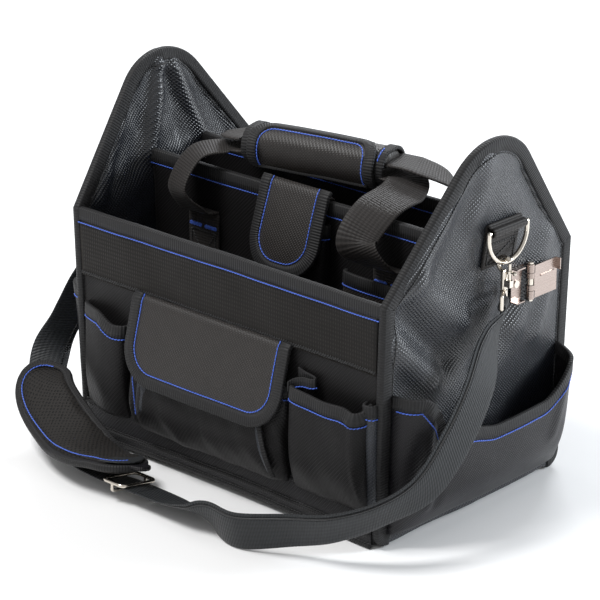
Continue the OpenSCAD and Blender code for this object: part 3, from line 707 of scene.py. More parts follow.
def base_panel():
    half_x, r = HALF_BASE - PANEL_T - 1, 10
    corner = arc(half_x - r, HALF_DEPTH - 2 - r, r, 0, 88, 6)
    side = np.stack([np.full(18, half_x), np.linspace(0, HALF_DEPTH - 2 - r, 18)], 1)[:-1]
    upper = np.concatenate([side, corner])
    prof = np.concatenate([upper[:0:-1] * [1, -1], upper])
    a, b = rows_grid(prof[:, 1], prof[:, 0], 61)

    def place(a, b):
        return np.stack([a, b, 2.6 + base_lift(a, b)], -1)
    sheet("base_cloth", place(a, b), 4.6, "base_fabric", stands_for=["bottom_panel"])


def base_welts():
    """Foot band and its two cords, front and rear, drawn up a little in the middle."""
    for word, y_side in (("front", -1), ("rear", 1)):
        top = 38 if y_side < 0 else 16

        def place(a, b):
            lift = base_lift(a, np.full_like(a, -HALF_DEPTH)) * (1 if y_side < 0 else 0.3)
            wave_z = 1.3 * np.sin(a / 37 + 0.6) + 0.7 * np.sin(a / 15)
            out = 1.0 + 1.7 * np.sin(np.clip((b - 2) / (top - 2), 0, 1) * math.pi) ** 0.5
            return np.stack([a, y_side * (HALF_DEPTH + out), b + lift * (1 - b / 60) + wave_z * b / 60], -1)
        bs = np.linspace(2.5, top, 22)
        a, b = rows_grid(bs, end_x(bs) - PANEL_T - 0.5, 90)
        foot = sheet(f"foot_band_{word}", place(a, b), 1.8, "base_fabric")
        if y_side < 0:
            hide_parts("base_binding")
        for k, z in enumerate((3, 14, 38) if y_side < 0 else (3, 16)):
            reach = float(end_x(z)) - PANEL_T - 1
            line = refine([[-reach, z], [reach, z]], 3)
            p, n = lay(place, line, 0.6, 1)
            n = facing(n, (0, y_side, 0))
            up = np.cross(tangents(p), n)
            swept(f"foot_cord_{word}_{k}", "binding", 2.0 * CIRCLE, p, up, n)
            p2, _ = lay(place, refine([[-reach, z + 3.4], [reach, z + 3.4]], 3))
            stitches(f"foot_seam_{word}_{k}", p2 + n * 1.0, n, "black_thread", pitch=3.6)


def front_band():
    """Reinforcing band under the front rim, with a zigzag along its lower edge."""
    place = wall_place(FRONT_Y - 0.9, flat_wobble(0.8, 30, 0.5, WALL_H, 1.5))
    bs = np.linspace(170, WALL_H - TAPE_W, 16)
    a, b = rows_grid(bs, end_x(bs) - PANEL_T - 2, 90)
    sheet("front_band_cloth", place(a, b), 1.3, "band_fabric", flat=(a, b), stands_for=["front_band"])
    x = np.arange(-190, 190, 1.5)
    p, n = lay(place, np.stack([x, 173.5 + 1.3 * zigzag(len(x))], 1), 0.8, 1)
    stitches("front_band_zigzag", p, facing(n, (0, -1, 0)), "black_thread", pitch=1.9, yaw=0)


base_panel()
base_welts()
front_band()


# ---------- pockets ----------

class Pocket:
    """A pouch sewn to a face: flat a runs from one gusset round the front to the other, b is height.

    marks say how far it stands out at each height, power how square its section is, and mid_out
    is the stand-out that the length of cloth round it is worked out from.
    """

    def __init__(self, x0, x1, marks, to_world, crumple, power, mid_out):
        self.centre, self.half, self.power = (x0 + x1) / 2, (x1 - x0) / 2, power
        self.out = smooth(marks, 10)
        self.to_world, self.crumple = to_world, crumple
        self.turn = np.linspace(math.pi, 0, 721)
        x, depth = self.section(self.turn)
        self.run = lengths(np.stack([x, mid_out * depth], 1))
        self.len = self.run[-1]

    def section(self, turn):
        """Place across, and share of the full stand-out, round the rounded oblong section."""
        c, s = np.cos(turn), np.sin(turn)
        return self.half * np.sign(c) * np.abs(c) ** (2 / self.power), np.abs(s) ** (2 / self.power)

    def place(self, a, b):
        x, depth = self.section(np.interp(np.clip(a, 0.01, self.len - 0.01), self.run, self.turn))
        y = (np.interp(b, self.out[:, 0], self.out[:, 1]) + self.crumple(a, b)) * depth
        return self.to_world(self.centre + x, np.maximum(y, 0.4), b)

    def outside(self):
        """Which side of the cloth is the outside: 1 or -1."""
        _, n = lay(self.place, np.array([[self.len / 2, 100.0]]))
        zero, one = np.zeros(1), np.ones(1)
        away = self.to_world(zero, one, zero) - self.to_world(zero, zero, zero)
        return 1 if n[0] @ away[0] > 0 else -1


def pouch(name, pocket, z0, top, mat, t=2.2, cols=90, rows=36, stands_for=None):
    """The pouch's cloth, with its rim taped and stitched; top(a) is the rim's height."""
    a_row = np.linspace(0, pocket.len, cols)
    share = np.linspace(0, 1, rows)[:, None] ** 0.9
    b = z0 + (top(a_row)[None] - z0) * share
    sheet(f"{name}_cloth", pocket.place(np.repeat(a_row[None], rows, 0), b), t, mat,
          stands_for=[name] if stands_for is None else stands_for)
    rim_a = np.linspace(pocket.len - 1, 1, max(20, int(pocket.len / 2)))
    edge_tape(f"{name}_tape", pocket.place, np.stack([rim_a, top(rim_a)], 1), t / 2 + 0.9, step=2.0)
    seam_a = np.linspace(pocket.len * 0.98, pocket.len * 0.02, 120)
    line = smooth(refine(np.stack([seam_a, top(seam_a)], 1), 6.0), 4)
    seam(f"{name}_seam", pocket.place, inset(line, TAPE_W + 1.7), t / 2 + 0.35, pocket.outside())


def pile_patch(name, place, low, high, centre, lift, side, **kw):
    """A 90 mm strip of hook or loop pile on a cloth, from height low to high."""
    a, b = rows_grid(np.linspace(low, high, 8), np.full(8, 45), 24, centre)
    p, _ = lay(place, np.stack([a.ravel(), b.ravel()], 1), lift, side)
    sheet(name, p.reshape(*a.shape, 3), 1.0, "hook_and_loop", **kw)


def on_wall(face_y):
    """Puts a pocket's points on a wall that faces the front: y stands out of the wall."""
    def to_world(x, y, z):
        return np.stack([x, face_y - y, z + 0 * x], -1)
    return to_world


def on_end(side):
    def to_world(x, y, z):
        return np.stack([side * (end_x(z) + 0.3 + y), x, z + 0 * x], -1)
    return to_world


on_front = on_wall(FRONT_Y - 0.2)
on_divider = on_wall(FRONT_DIV_Y - WALL_T / 2 - 0.2)


def left_front_pocket():
    pocket = Pocket(-184, -126, [(30, 1), (40, 9), (72, 15), (110, 14), (150, 11)], on_front,
                    lambda a, b: 0.8 * ripple(a, b, 16, 1.1) - 8 * (1 - ease((a - 4) / 40)), 4.0, 14)
    pouch("left_front_pocket", pocket, 38, lambda a: 143 - 9 * ease((a - 34) / 24), "wall_fabric")


def centre_front_pocket():
    """Wide pocket under the front flap, slack and crumpled at both lower corners."""
    def crumple(a, b):
        low = ease((118 - b) / 40)
        return low * (-5.0 * ridge(a, b, (206, 112), (246, 44), 5)
                      + 3.5 * ridge(a, b, (196, 108), (234, 44), 5)
                      + 3.0 * ridge(a, b, (40, 100), (34, 48), 7) - 4.0 * ridge(a, b, (26, 104), (22, 46), 5)
                      + 2.2 * ridge(a, b, (60, 92), (84, 46), 12) + 1.4 * ripple(a, b, 14, 0.4))
    pocket = Pocket(-116, 86, [(30, 1), (40, 13), (66, 22), (100, 15), (134, 9)], on_front, crumple, 4.5, 18)
    pile_patch("loop_pile", pocket.place, 107, 120, pocket.len / 2, 1.7, pocket.outside(),
               stands_for=["flap_loop_patch"])
    pouch("centre_front_pocket", pocket, 38, lambda a: 132 + 0 * a, "wall_fabric")


def right_front_pocket():
    """Pocket with a sagging rim, and the narrow gusset between it and the bag's corner."""
    def crumple(a, b):
        return (2.4 * ridge(a, b, (92, 132), (100, 50), 4) - 3.2 * ridge(a, b, (102, 134), (110, 52), 5)
                + 1.5 * ripple(a, b, 20, 2.4))
    pocket = Pocket(96, 185, [(30, 1), (40, 9), (70, 20), (110, 20), (145, 16)], on_front, crumple, 4.5, 18)
    pouch("right_front_pocket", pocket, 38,
          lambda a: 139 - 2 * hump(a, 60, 26) - 4 * hump(a, 94, 10) + 3 * ease((a - 98) / 8), "wall_fabric")
    strip = Pocket(180, 192, [(30, 1), (40, 5), (110, 8), (145, 8)], on_front,
                   lambda a, b: 0.7 * ripple(a, b, 12, 0.8), 3.0, 8)
    pouch("right_front_gusset", strip, 40, lambda a: 143 + 0 * a, "lit_gusset_fabric", t=1.4, cols=16,
          stands_for=())


def centre_pocket_folds():
    """The pleat at the centre pocket's right side and the crumple at its left."""
    t = np.linspace(0, 1, 24)
    share = np.linspace(-1, 1, 9)
    spine = on_front(58 + 22 * t, 15.5 + 6.5 * np.sin(t * 2.6) + 1.5, 103 - 57 * t)
    reach = (3.0 + 5.5 * np.sin(t * 2.9) ** 2 + 3 * t * (t > 0.6))[:, None, None]
    lean = unit(np.array([-0.82, 0.35, 0.10]))
    sheet("centre_pocket_pleat", spine[:, None] + reach * (share + 1)[None, :, None] * 0.5 * lean, 1.0,
          "lit_gusset_fabric")
    n = repeat(unit([0.35, -0.93, 0.1]), 24)
    swept("centre_pocket_pleat_tape", "binding", CIRCLE * [1.3, 2.6], spine + [3.0, -0.5, 0], n,
          np.cross(n, tangents(spine)))
    z = (101 - 38 * t)[:, None]
    wide = (0.55 + 0.45 * np.sin(t * math.pi))[:, None]
    gather = 2.2 * np.cos(share * 5.5)[None] + 0.8 * np.sin(t * 9)[:, None]
    out = np.interp(z, [60, 101], [24.5, 18.0]) + wide * gather - 3.5 * share[None] ** 4
    sheet("centre_pocket_crumple", on_front(-88 + 11 * share[None] * wide, out, z + 2 * share[None]), 1.0,
          "lit_gusset_fabric")


def right_pocket_curl():
    """Spare tape curled behind the left end of the right pocket's rim."""
    marks = smooth([[96, 15, 138], [99, 10, 141], [108, 8, 144], [118, 8, 145], [122, 6, 146], [118, 4, 147],
                    [106, 3, 148], [99, 3, 150]], 6)
    curl = on_front(*marks.T)
    up = repeat(UP, len(curl))
    n = facing(unit(np.cross(tangents(curl), up)), (0, -1, 0))
    webbing("right_front_pocket_curl", curl, up, n, np.full(len(curl), 4.8), 1.8, "binding")
    stitches("right_front_pocket_curl_seam", (curl - up * 4.2 + n * 1.2)[4:26], n[4:26])


def centre_side_seam():
    line = np.linspace(112, 52, 30)
    p = on_front(np.full(30, -104.0), np.interp(line, [52, 90, 112], [15.2, 18.6, 15.6]), line)
    stitches("centre_pocket_side_seam", p, repeat([0, -1, 0], 30))


def end_pocket(word, side):
    def top(a):
        front = 150 - 46 * ease((a - 28) / 44) - 8 * ease((a - 90) / 40)
        return front + 30 * ease((a - 196) / 56) + 6 * ease((a - 250) / 20)

    def crumple(a, b):
        return (2.6 * ridge(a, b, (36, 140), (44, 40), 5) - 2.2 * ridge(a, b, (48, 120), (56, 40), 6)
                + 2.0 * ridge(a, b, (232, 100), (222, 56), 8) + 1.8 * ripple(a, b, 40, 0.9))
    pocket = Pocket(-118, 118, [(8, 1), (16, 11), (48, 28), (100, 33), (152, 37)], on_end(side), crumple,
                    4.0, 30)
    pouch(f"{word}_end_pocket", pocket, 14, top, "base_fabric", cols=120, rows=44)


def inner_pockets():
    tool = Pocket(-38, 42, [(112, 1), (122, 12), (160, 20), (210, 15), (252, 8)], on_divider,
                  lambda a, b: 0.8 * ripple(a, b, 18, 0.3), 4.5, 14)
    pouch("inner_pocket", tool, 118, lambda a: 250 + 0 * a, "wall_fabric")
    low = Pocket(64, 176, [(84, 1), (92, 8), (130, 10), (170, 10), (214, 8)], on_divider,
                 lambda a, b: 0.6 * ripple(a, b, 20, 1.3), 5.0, 10)
    pouch("inner_low_pocket", low, 90, lambda a: 212 + 0 * a, "flap_fabric")


left_front_pocket()
centre_front_pocket()
right_front_pocket()
centre_pocket_folds()
right_pocket_curl()
centre_side_seam()
end_pocket("right", 1)
end_pocket("left", -1)
inner_pockets()


# ---------- flaps ----------

def flap_profile(w, drop, r):
    """Half width and depth down a flap with round lower corners."""
    side = np.stack([np.full(12, w / 2), np.linspace(-5, drop - r, 12)], 1)
    corner = arc(w / 2 - r, 0, r, 0, 90, 10)
    corner[:, 1] += drop - r
    return np.concatenate([side, corner[1:]])


def flap_place(x0, y0, z0, tilt, bulge, drop, half_w):
    s, c = math.sin(math.radians(tilt)), math.cos(math.radians(tilt))

    def place(a, b):
        up = np.minimum(b, 0)
        down = np.maximum(b, 0)
        out = 1.3 + bulge * np.sin(np.clip(down / drop, 0, 1) * math.pi * 0.8) * (1 - (a / half_w) ** 2)
        out = out + 0.5 * ripple(a, b, 26, 0.6)
        y = y0 - down * s - out * c - up * 0.75
        z = z0 - down * c + out * s - up * 0.9
        return np.stack([x0 + a, y, z], -1)
    return place


def flap(name, x0, y0, z0, tilt, w, drop, r, bulge):
    """A hanging flap, its tape and stitching, bending at its sewn root; its cloth's place and front side."""
    t = 2.6
    place = flap_place(x0, y0, z0, tilt, bulge, drop, w / 2)
    prof = flap_profile(w, drop, r)
    a, b = rows_grid(prof[:, 1], np.maximum(prof[:, 0], 2), 61)
    made = [sheet(f"{name}_cloth", place(a, b), t, "flap_fabric", flat=(a, b), ride=False, stands_for=[name])]
    edge = np.concatenate([prof * [-1, 1], prof[::-1]])
    p, n = lay(place, refine(edge, 2))
    q, _ = lay(place, inset(refine(edge, 2), 2.0))
    middle, facing_out = lay(place, np.array([[0, drop / 2]]))
    k = len(p) // 4
    if (q - p)[k] @ (middle[0] - p[k]) < 0:
        edge = edge[::-1]
    made.append(edge_tape(f"{name}_tape", place, edge, t / 2 + 1.0, ride=False))
    front = 1 if facing_out[0][1] < 0 else -1
    line = inset(refine(edge, 2), TAPE_W + 1.6)
    made.append(seam(f"{name}_seam", place, line, t / 2 + 0.1, front, ride=False))
    for obj in made:
        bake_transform(obj)
    return place, front


front_flap, front_flap_side = flap("front_flap", -12.0, FRONT_Y - 4.5, 168.0, 14.0, 202.0, 80.0, 38.0, 2.5)
INNER_Y, INNER_Z = FRONT_DIV_Y - WALL_T / 2 - 3.5, 278.0
flap("inner_flap", 2.0, INNER_Y, INNER_Z, 17.0, 84.0, 84.0, 36.0, 4.0)


def flap_saddle():
    """Sewn root of the inner flap, over the divider's top edge."""
    line = smooth([[INNER_Y + 0.5, INNER_Z - 3], [FRONT_DIV_Y - 1, DIVIDER_H + 4.2],
                   [FRONT_DIV_Y + 4, DIVIDER_H + 2.6], [FRONT_DIV_Y + 6, DIVIDER_H - 6]], 6)
    a = np.linspace(-37, 41, 30)
    p = np.stack([np.repeat(a[None], len(line), 0), np.repeat(line[:, :1], 30, 1),
                  np.repeat(line[:, 1:], 30, 1)], -1)
    sheet("inner_flap_root", p, 1.8, "flap_fabric", stands_for=["inner_flap_saddle"])


pile_patch("hook_pile", front_flap, 44, 64, 0.0, 2.1, -front_flap_side, body="front_flap",
           stands_for=["flap_hook_patch"])
flap_saddle()


# ---------- carry handle ----------

HANDLE_ROOT_X = (-122.0, 118.0)
FRONT_ROOT_Y = FRONT_DIV_Y - WALL_T / 2 - 1.5
REAR_ROOT_Y = REAR_DIV_Y + WALL_T / 2 + 1.5
ROOT_LOW, RUN_Z = 150.0, 228.0
GRIP_C = np.array([-4.0, 10.0, 301.0])
GRIP_LEN, GRIP_D, GRIP_H, GRIP_YAW = 152.0, 46.0, 36.0, 12.0
GRIP_AXIS = np.array([math.cos(math.radians(GRIP_YAW)), math.sin(math.radians(GRIP_YAW)), 0])
GRIP_SIDE = np.array([-math.sin(math.radians(GRIP_YAW)), math.cos(math.radians(GRIP_YAW)), 0])

# The same marks as in the CAD source: [x, y, z, turn, rise], and a width where it changes
FRONT_LEFT_RUN = [[-122, FRONT_ROOT_Y, RUN_Z, 0, 0], [-122, -37, 229, 0, 0], [-122, -48, 233, 0, 0],
                  [-130, -60, 256, -22, 0], [-122, -41, 288, -36, -4], [-100, -14, 293, -74, 0],
                  [-82, -8.5, 295, -78, 0]]
FRONT_RIGHT_RUN = [[118, FRONT_ROOT_Y, RUN_Z, 0, 0], [118, -37, 229, 0, 0], [118, -48, 233, 0, 0],
                   [104, -62, 256, 22, 0], [107, -38, 283, 38, -4], [103, 4, 290, 78, -4],
                   [90, 24, 294, 98, 0], [74, 22, 295, 102, 0]]
REAR_LEFT_RUN = [[-122, REAR_ROOT_Y, RUN_Z, 0, 0], [-122, 54, 229, 0, 0], [-122, 62, 233, 0, 0],
                 [-128, 68, 262, 15, 0], [-118, 38, 293, 50, 0], [-105, 5, 303, 82, 0],
                 [-92, -7, 306, 97, 0], [-80, -7, 307, 100, 0]]
REAR_RIGHT_RUN = [[118, REAR_ROOT_Y, RUN_Z, 0, 0], [118, 54, 229, 0, 0], [118, 62, 233, 0, 0],
                  [130, 68, 260, -18, 0], [118, 54, 290, -45, -3], [94, 36, 304, -74, 0],
                  [74, 28, 307, -78, 0]]


def handle_roots():
    """Webbing sewn to the dividers with boxed crosses and two bar tacks."""
    for word, y, way in (("front", FRONT_ROOT_Y, -1), ("rear", REAR_ROOT_Y, 1)):
        for k, x in enumerate(HANDLE_ROOT_X):
            z = np.linspace(ROOT_LOW, RUN_Z - 2, 16)
            out = [0, way, 0]
            root = webbing(f"handle_root_{word}_{k}", np.stack([np.full(16, x), y + 0 * z, z], 1),
                           repeat([1, 0, 0], 16), repeat(out, 16), np.full(16, HANDLE_W / 2), 2.6,
                           "handle_webbing")
            if k == 0:
                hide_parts(f"{word}_handle_roots")
            face = y + way * 1.4
            line = refine([[-16, 156], [16, 156], [16, 206], [-16, 206], [-16, 156], [16, 206], [16, 156],
                           [-16, 206]], 2.5)
            p = np.stack([x + line[:, 0], np.full(len(line), face), line[:, 1]], 1)
            stitches(f"handle_box_{word}_{k}", p, repeat(out, len(p)), "black_thread")
            for q, hand in ((-1, "left"), (1, "right")):
                t = np.linspace(-0.5, 0.5, 34)
                tack = np.stack([x + q * 10 + t * 15, np.full(34, face + way * 0.2),
                                 211 + 1.4 * zigzag(34)], 1)
                stitches(f"handle_tack_{word}_{k}_{hand}", tack, repeat(out, 34), pitch=1.5, r=0.8, yaw=0)


def handle_straps():
    for word, *runs in (("front", FRONT_LEFT_RUN, FRONT_RIGHT_RUN), ("rear", REAR_LEFT_RUN, REAR_RIGHT_RUN)):
        for k, marks in enumerate(runs):
            c, w, n, half = ribbon_frames(marks, 12, HANDLE_W)
            # The webbing carries on into the mouth of the grip
            inward = GRIP_AXIS if k == 0 else -GRIP_AXIS
            c = np.concatenate([c, c[-1:] + inward * 8, c[-1:] + inward * 16])
            w, n = (np.concatenate([m, m[-1:], m[-1:]]) for m in (w, n))
            half = np.concatenate([half, [17, 14]])
            strap = webbing(f"handle_strap_{word}_{k}", c, w, n, half, 2.6, "handle_webbing", ride=False)
            if k == 0:
                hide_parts(f"{word}_handle_strap")
            Vector(c[4]) * MM
            Vector(c[-22]) * MM
            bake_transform(strap)


def grip_at(along, d, h):
    """A point of the grip: along it, d across it and h above its middle."""
    outer = np.multiply.outer
    return GRIP_C + outer(along, GRIP_AXIS) + outer(d, GRIP_SIDE) + outer(h, UP)


def grip_point(along, around, grow):
    """Point on the grip's section: around is measured from the middle of its top, forward."""
    r = GRIP_H / 2
    flat = GRIP_D / 2 - r
    turn = np.clip(around - flat, 0, math.pi * r) / r
    beyond = np.maximum(around - flat - math.pi * r, 0)
    d = -(np.minimum(around, flat) + (r + grow) * np.sin(turn)) + beyond
    return grip_at(along, d, (r + grow) * np.cos(turn))


def puff(obj, voxel, pressure, cap, frames=20):
    """Cloth simulation that fills a closed cover, each point moving at most cap metres."""
    old = np.array([v.co for v in obj.data.vertices], float)
    flat = np.zeros(len(old) * 3, np.float32)
    obj.data.attributes["cloth"].data.foreach_get("vector", flat)
    flat = flat.reshape(-1, 3)
    remesh = obj.modifiers.new("remesh", "REMESH")
    remesh.mode = "VOXEL"
    remesh.voxel_size = voxel
    bpy.context.view_layer.update()
    bake(obj)
    rest = np.array([v.co for v in obj.data.vertices], float)
    cloth = obj.modifiers.new("cloth", "CLOTH")
    cloth.settings.use_pressure = True
    cloth.settings.uniform_pressure_force = pressure
    cloth.settings.effector_weights.gravity = 0
    cloth.settings.quality = 5
    scene = bpy.context.scene
    for f in range(1, frames + 1):
        scene.frame_set(f)
    evaluated = obj.evaluated_get(bpy.context.evaluated_depsgraph_get())
    new = np.array([v.co for v in evaluated.data.vertices], float)
    obj.modifiers.remove(cloth)
    scene.frame_set(1)
    move = new - rest
    far = np.linalg.norm(move, axis=1, keepdims=True)
    new = rest + move * np.minimum(1, cap / np.maximum(far, 1e-9))
    obj.data.vertices.foreach_set("co", new.astype(np.float32).ravel())
    sub = obj.modifiers.new("sub", "SUBSURF")
    sub.levels = sub.render_levels = 1
    bake(obj)
    carry_cloth(obj, old, flat)
    obj.data.shade_smooth()


def bake(obj):
    """Applies the object's modifiers to its mesh."""
    dg = bpy.context.evaluated_depsgraph_get()
    made = bpy.data.meshes.new_from_object(obj.evaluated_get(dg))
    obj.modifiers.clear()
    obj.data = made


def carry_cloth(obj, old, flat):
    """Gives each new point the cloth coordinates of the nearest old points, weighed by distance."""
    tree = KDTree(len(old))
    for k, p in enumerate(old):
        tree.insert(p, k)
    tree.balance()
    out = np.zeros((len(obj.data.vertices), 3), np.float32)
    for k, v in enumerate(obj.data.vertices):
        found = tree.find_n(v.co, 4)
        weights = np.array([1 / (d + 1e-5) for _, _, d in found])
        out[k] = (weights[:, None] * flat[[i for _, i, _ in found]]).sum(0) / weights.sum()
    if "cloth" in obj.data.attributes:
        obj.data.attributes.remove(obj.data.attributes["cloth"])
    data = obj.data.attributes.new("cloth", "FLOAT_VECTOR", "POINT")
    data.data.foreach_set("vector", out.ravel())


def grip():
    """Padded core, taped ends and a short seam by its right end; the flap wrapped over its front is made by
    grip_wrap.
    """
    r, flat = GRIP_H / 2, GRIP_D / 2 - GRIP_H / 2
    ring = np.concatenate([arc(0, 0, 1, -90, 90, 14), arc(0, 0, 1, 90, 270, 14)])
    flat_pos = np.repeat([flat, -flat], len(ring) // 2)
    xs = np.linspace(-GRIP_LEN / 2, GRIP_LEN / 2, 44)
    grow = r - 1.2 - 2.4 * (1 - ease((GRIP_LEN / 2 - np.abs(xs)) / 10))
    n, k = len(xs), len(ring)
    verts = [grip_at(np.full(k, x), flat_pos + ring[:, 0] * g, ring[:, 1] * g) for x, g in zip(xs, grow)]
    cloth = np.stack([np.tile(np.arange(k) * 4.0, n), np.repeat(xs, k)], 1)
    faces = grid_faces(n, k, closed=True) + caps(n, k)
    core = piece("grip_core", np.concatenate(verts), faces, "flap_fabric", cloth, body="handle",
                 stands_for=["handle_grip"])
    puff(core, 0.004, 3.0, 0.0022)

    def round_grip(degrees, x, size):
        """Path and normals round the grip's section."""
        q = np.radians(degrees)
        c, s = np.cos(q), np.sin(q)
        return (grip_at(np.full(len(q), x), np.sign(c) * flat + size * c, size * s),
                c[:, None] * GRIP_SIDE + s[:, None] * UP)
    for word, side in (("left", -1), ("right", 1)):
        path, normal = round_grip(np.linspace(0, 345, 24), side * (GRIP_LEN / 2 + 0.3), r - 1.5)
        binding(f"grip_end_tape_{word}", path, repeat(-side * GRIP_AXIS, 24), normal, 1.9, w=9.0,
                body="handle", closed=True)
    path, normal = round_grip(np.linspace(95, 150, 12), GRIP_LEN / 2 - 5, r + 0.5)
    stitches("grip_tab_seam", path, normal, body="handle")


def grip_wrap():
    """The flap: cloth from the top of the grip round its front, taped and stitched all round."""
    half_l, top_a, low_a, corner = GRIP_LEN / 2 - 8, 1.0, 56.0, 25.0

    def place(a, b):
        puffed = 2.4 + 0.5 * ripple(a, b, 24, 1.4)
        return grip_point(np.asarray(a, float), np.asarray(b, float), puffed)
    upper = arc(half_l - corner, 0, corner, 88, 0, 8)
    lower = arc(half_l - 8, 0, 8, 0, -86, 5)
    prof = np.concatenate([np.stack([upper[:, 0], top_a + corner - upper[:, 1]], 1),
                           np.stack([lower[:, 0], low_a - 8 - lower[:, 1]], 1)])
    a, b = rows_grid(prof[:, 1], prof[:, 0], 71)
    sheet("grip_flap_cloth", place(a, b), 2.4, "flap_fabric", flat=(a, b), body="grip_flap",
          stands_for=["grip_flap"])
    edge = np.concatenate([prof, prof[::-1] * [-1, 1], prof[:1]])
    edge_tape("grip_flap_tape", place, edge, 2.1, w=9.5, body="grip_flap")
    out = UP - GRIP_SIDE
    n = lay(place, np.array([[0.0, 20.0]]))[1][0]
    arch = inset(refine(np.concatenate([prof[-6::-1] * [-1, 1], prof[:-5]]), 2), 11.0)
    seam("grip_flap_seam", place, arch, 1.4, 1 if n @ out > 0 else -1, body="grip_flap")
    a, b = rows_grid(np.linspace(-4.5, 9, 12), np.full(12, half_l - 14), 50)
    root = sheet("grip_flap_root", place(a, b) - 1.6 * UP, 1.6, "flap_fabric", ride=False)
    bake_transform(root)


handle_roots()
handle_straps()
grip()
grip_wrap()


# ---------- ring tabs, strap ends and shoulder strap ----------

RING_X, RING_Y, RING_BAR_Z, TAB_W, TAB_LOW = 213.0, 21.0, 276.0, 47.0, 238.0
EYE_TURN, STRAP_FOLD_Z = -58.0, 199.5

RIGHT_END_RUN = [[213, 17, STRAP_FOLD_Z, EYE_TURN, 0, 24], [213, 16, 192, -60, 0, 26],
                 [216, 4, 183, -68, 8, 32], [222, -11, 174, -75, 15, STRAP_W]]
LEFT_END_RUN = [[-213, 17, STRAP_FOLD_Z, -EYE_TURN, 0, 24], [-213, 16, 192, 57, 0, 26],
                [-217, 6, 185, 58, 0, 32], [-225, -9, 177, 60, 0, STRAP_W]]
RIGHT_RUN = [[223, -14, 172, -76, 16], [240, -50, 145, -95, 30], [245, -85, 110, -100, 35],
             [240, -120, 75, -95, 40], [220, -155, 55, -75, 50], [185, -180, 38, -70, 60],
             [145, -195, 28, -80, 70], [100, -215, 20, -90, 78], [65, -212, 20, -90, 70],
             [40, -207, 16, -90, 35], [5, -201, 12.5, -90, 14], [-30, -200, 12, -90, 10]]
LEFT_RUN = [[-31, -200, 12, 90, -10], [-60, -200, 12, 90, -10], [-90, -200, 12, 90, -10],
            [-125, -194, 18, 85, 10], [-165, -180, 27, 78, 28], [-212, -160, 45, 70, 35],
            [-242, -130, 72, 75, 20], [-246, -100, 105, 82, 5], [-246, -75, 135, 80, 0],
            [-240, -42, 160, 70, 0], [-227, -14, 174.6, 60, 0]]


def ring_tab(word, side):
    """Webbing sewn to the end panel and folded over the ring's bar."""
    low, high = float(end_x(TAB_LOW)), float(end_x(RING_BAR_Z + 8))
    fold = arc(RING_X, RING_BAR_Z, 3.8, 120, -110, 14)
    up = [[low + 1.1, TAB_LOW], [float(end_x(258)) + 1.2, 258], [high + 1.0, RING_BAR_Z + 6]]
    down = [[float(end_x(270)) + 2.8, 269], [float(end_x(255)) + 2.3, 255], [low + 2.0, TAB_LOW + 1]]
    line = np.concatenate([up, fold, down])
    line = resample(smooth(line, 6), 70)
    c = np.stack([side * line[:, 0], np.full(70, RING_Y), line[:, 1]], 1)
    w = repeat([0, 1, 0], 70)
    n = np.cross(tangents(c), w)
    webbing(f"{word}_ring_tab_web", c, w, n, np.full(70, TAB_W / 2), 1.3, "handle_webbing",
            stands_for=[f"{word}_ring_tab"])
    box = refine([[-19, 242], [19, 242], [19, 262], [-19, 262], [-19, 242], [19, 262]], 2)
    p = np.stack([side * (end_x(box[:, 1]) + 3.0), RING_Y + box[:, 0], box[:, 1]], 1)
    stitches(f"{word}_tab_box", p, repeat([side, 0, 0], len(p)), "black_thread")


def strap(word, end_marks, marks, side):
    """Two plies of webbing from the eye to the slider, the back ply showing along one edge."""
    run = marks if side > 0 else marks[::-1]
    c, w, n, half = ribbon_frames(end_marks[:-1] + run, 12, STRAP_W)
    n = -n
    body = f"strap_end_{word}"
    step = 2.8 * side * ease(np.linspace(0, 8, len(c)))[:, None]
    shift = w * step * 0.9
    made = [webbing(f"{word}_strap_front_ply", c + n * 0.95 - shift, w, n, half - 2.6, 1.6, "strap_webbing",
                    ride=False, stands_for=[f"shoulder_strap_{word}", f"{word}_strap_end"]),
            webbing(f"{word}_strap_back_ply", c - n * 0.95 + w * step, w, n, half - 2.8, 1.6, "strap_webbing",
                    ride=False),
            # A continuous black cord along the front ply's edge: the stitched seam there, and painted shadow
            # in the gap between the two plies
            swept(f"{word}_strap_edge_seam_and_shadow", "black_thread", arc(0, 0, 0.85, 0, 300, 5),
                  c + w * side * (half[:, None] - 2.0) - shift + n * 0.5, w, n, ride=False)]
    turn = math.radians(EYE_TURN)
    across = np.array([math.cos(turn), side * math.sin(turn), 0])
    loop = arc(0, 0, 3.4, -60, 240, 12)
    fold = np.array([side * RING_X, 17, 203.5]) + loop[:, :1] * np.cross(across, UP) + loop[:, 1:] * UP
    w = repeat(across, len(fold))
    webbing(f"{word}_strap_fold", fold, w, np.cross(tangents(fold), w), np.full(len(fold), 11.5), 1.5,
            "strap_webbing", body=body)
    for obj in made:
        Vector(run[1][:3]) * MM
        Vector(end_marks[1][:3]) * MM
        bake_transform(obj)


ring_tab("right", 1)
ring_tab("left", -1)
strap("right", RIGHT_END_RUN, RIGHT_RUN, 1)
strap("left", LEFT_END_RUN, LEFT_RUN, -1)


def pad_frames():
    """Centre, width direction and face normal along the shoulder pad, out on the strap's outer face."""
    n_per = 9
    c, w, n, _ = ribbon_frames(LEFT_RUN, n_per, STRAP_W)
    first, last = 2 * n_per // 3, 17 * n_per // 3
    index = np.arange(first, last + 1)
    pad_gap, tip_lift, tip_span = 2.8, 8.0, 8.0
    lift = (STRAP_T + PAD_T) / 2 + pad_gap + tip_lift * np.maximum(0, 1 - (index * 3 / n_per - 2) / tip_span)
    c = c[index] - n[index] * lift[:, None]
    w = unit(w[index] - tangents(c) * np.sum(tangents(c) * w[index], 1, keepdims=True))
    c, w = resample(c, 110, w)
    d = tangents(c)
    w = unit(w - d * np.sum(d * w, 1, keepdims=True))
    return c, w, -np.cross(d, w)


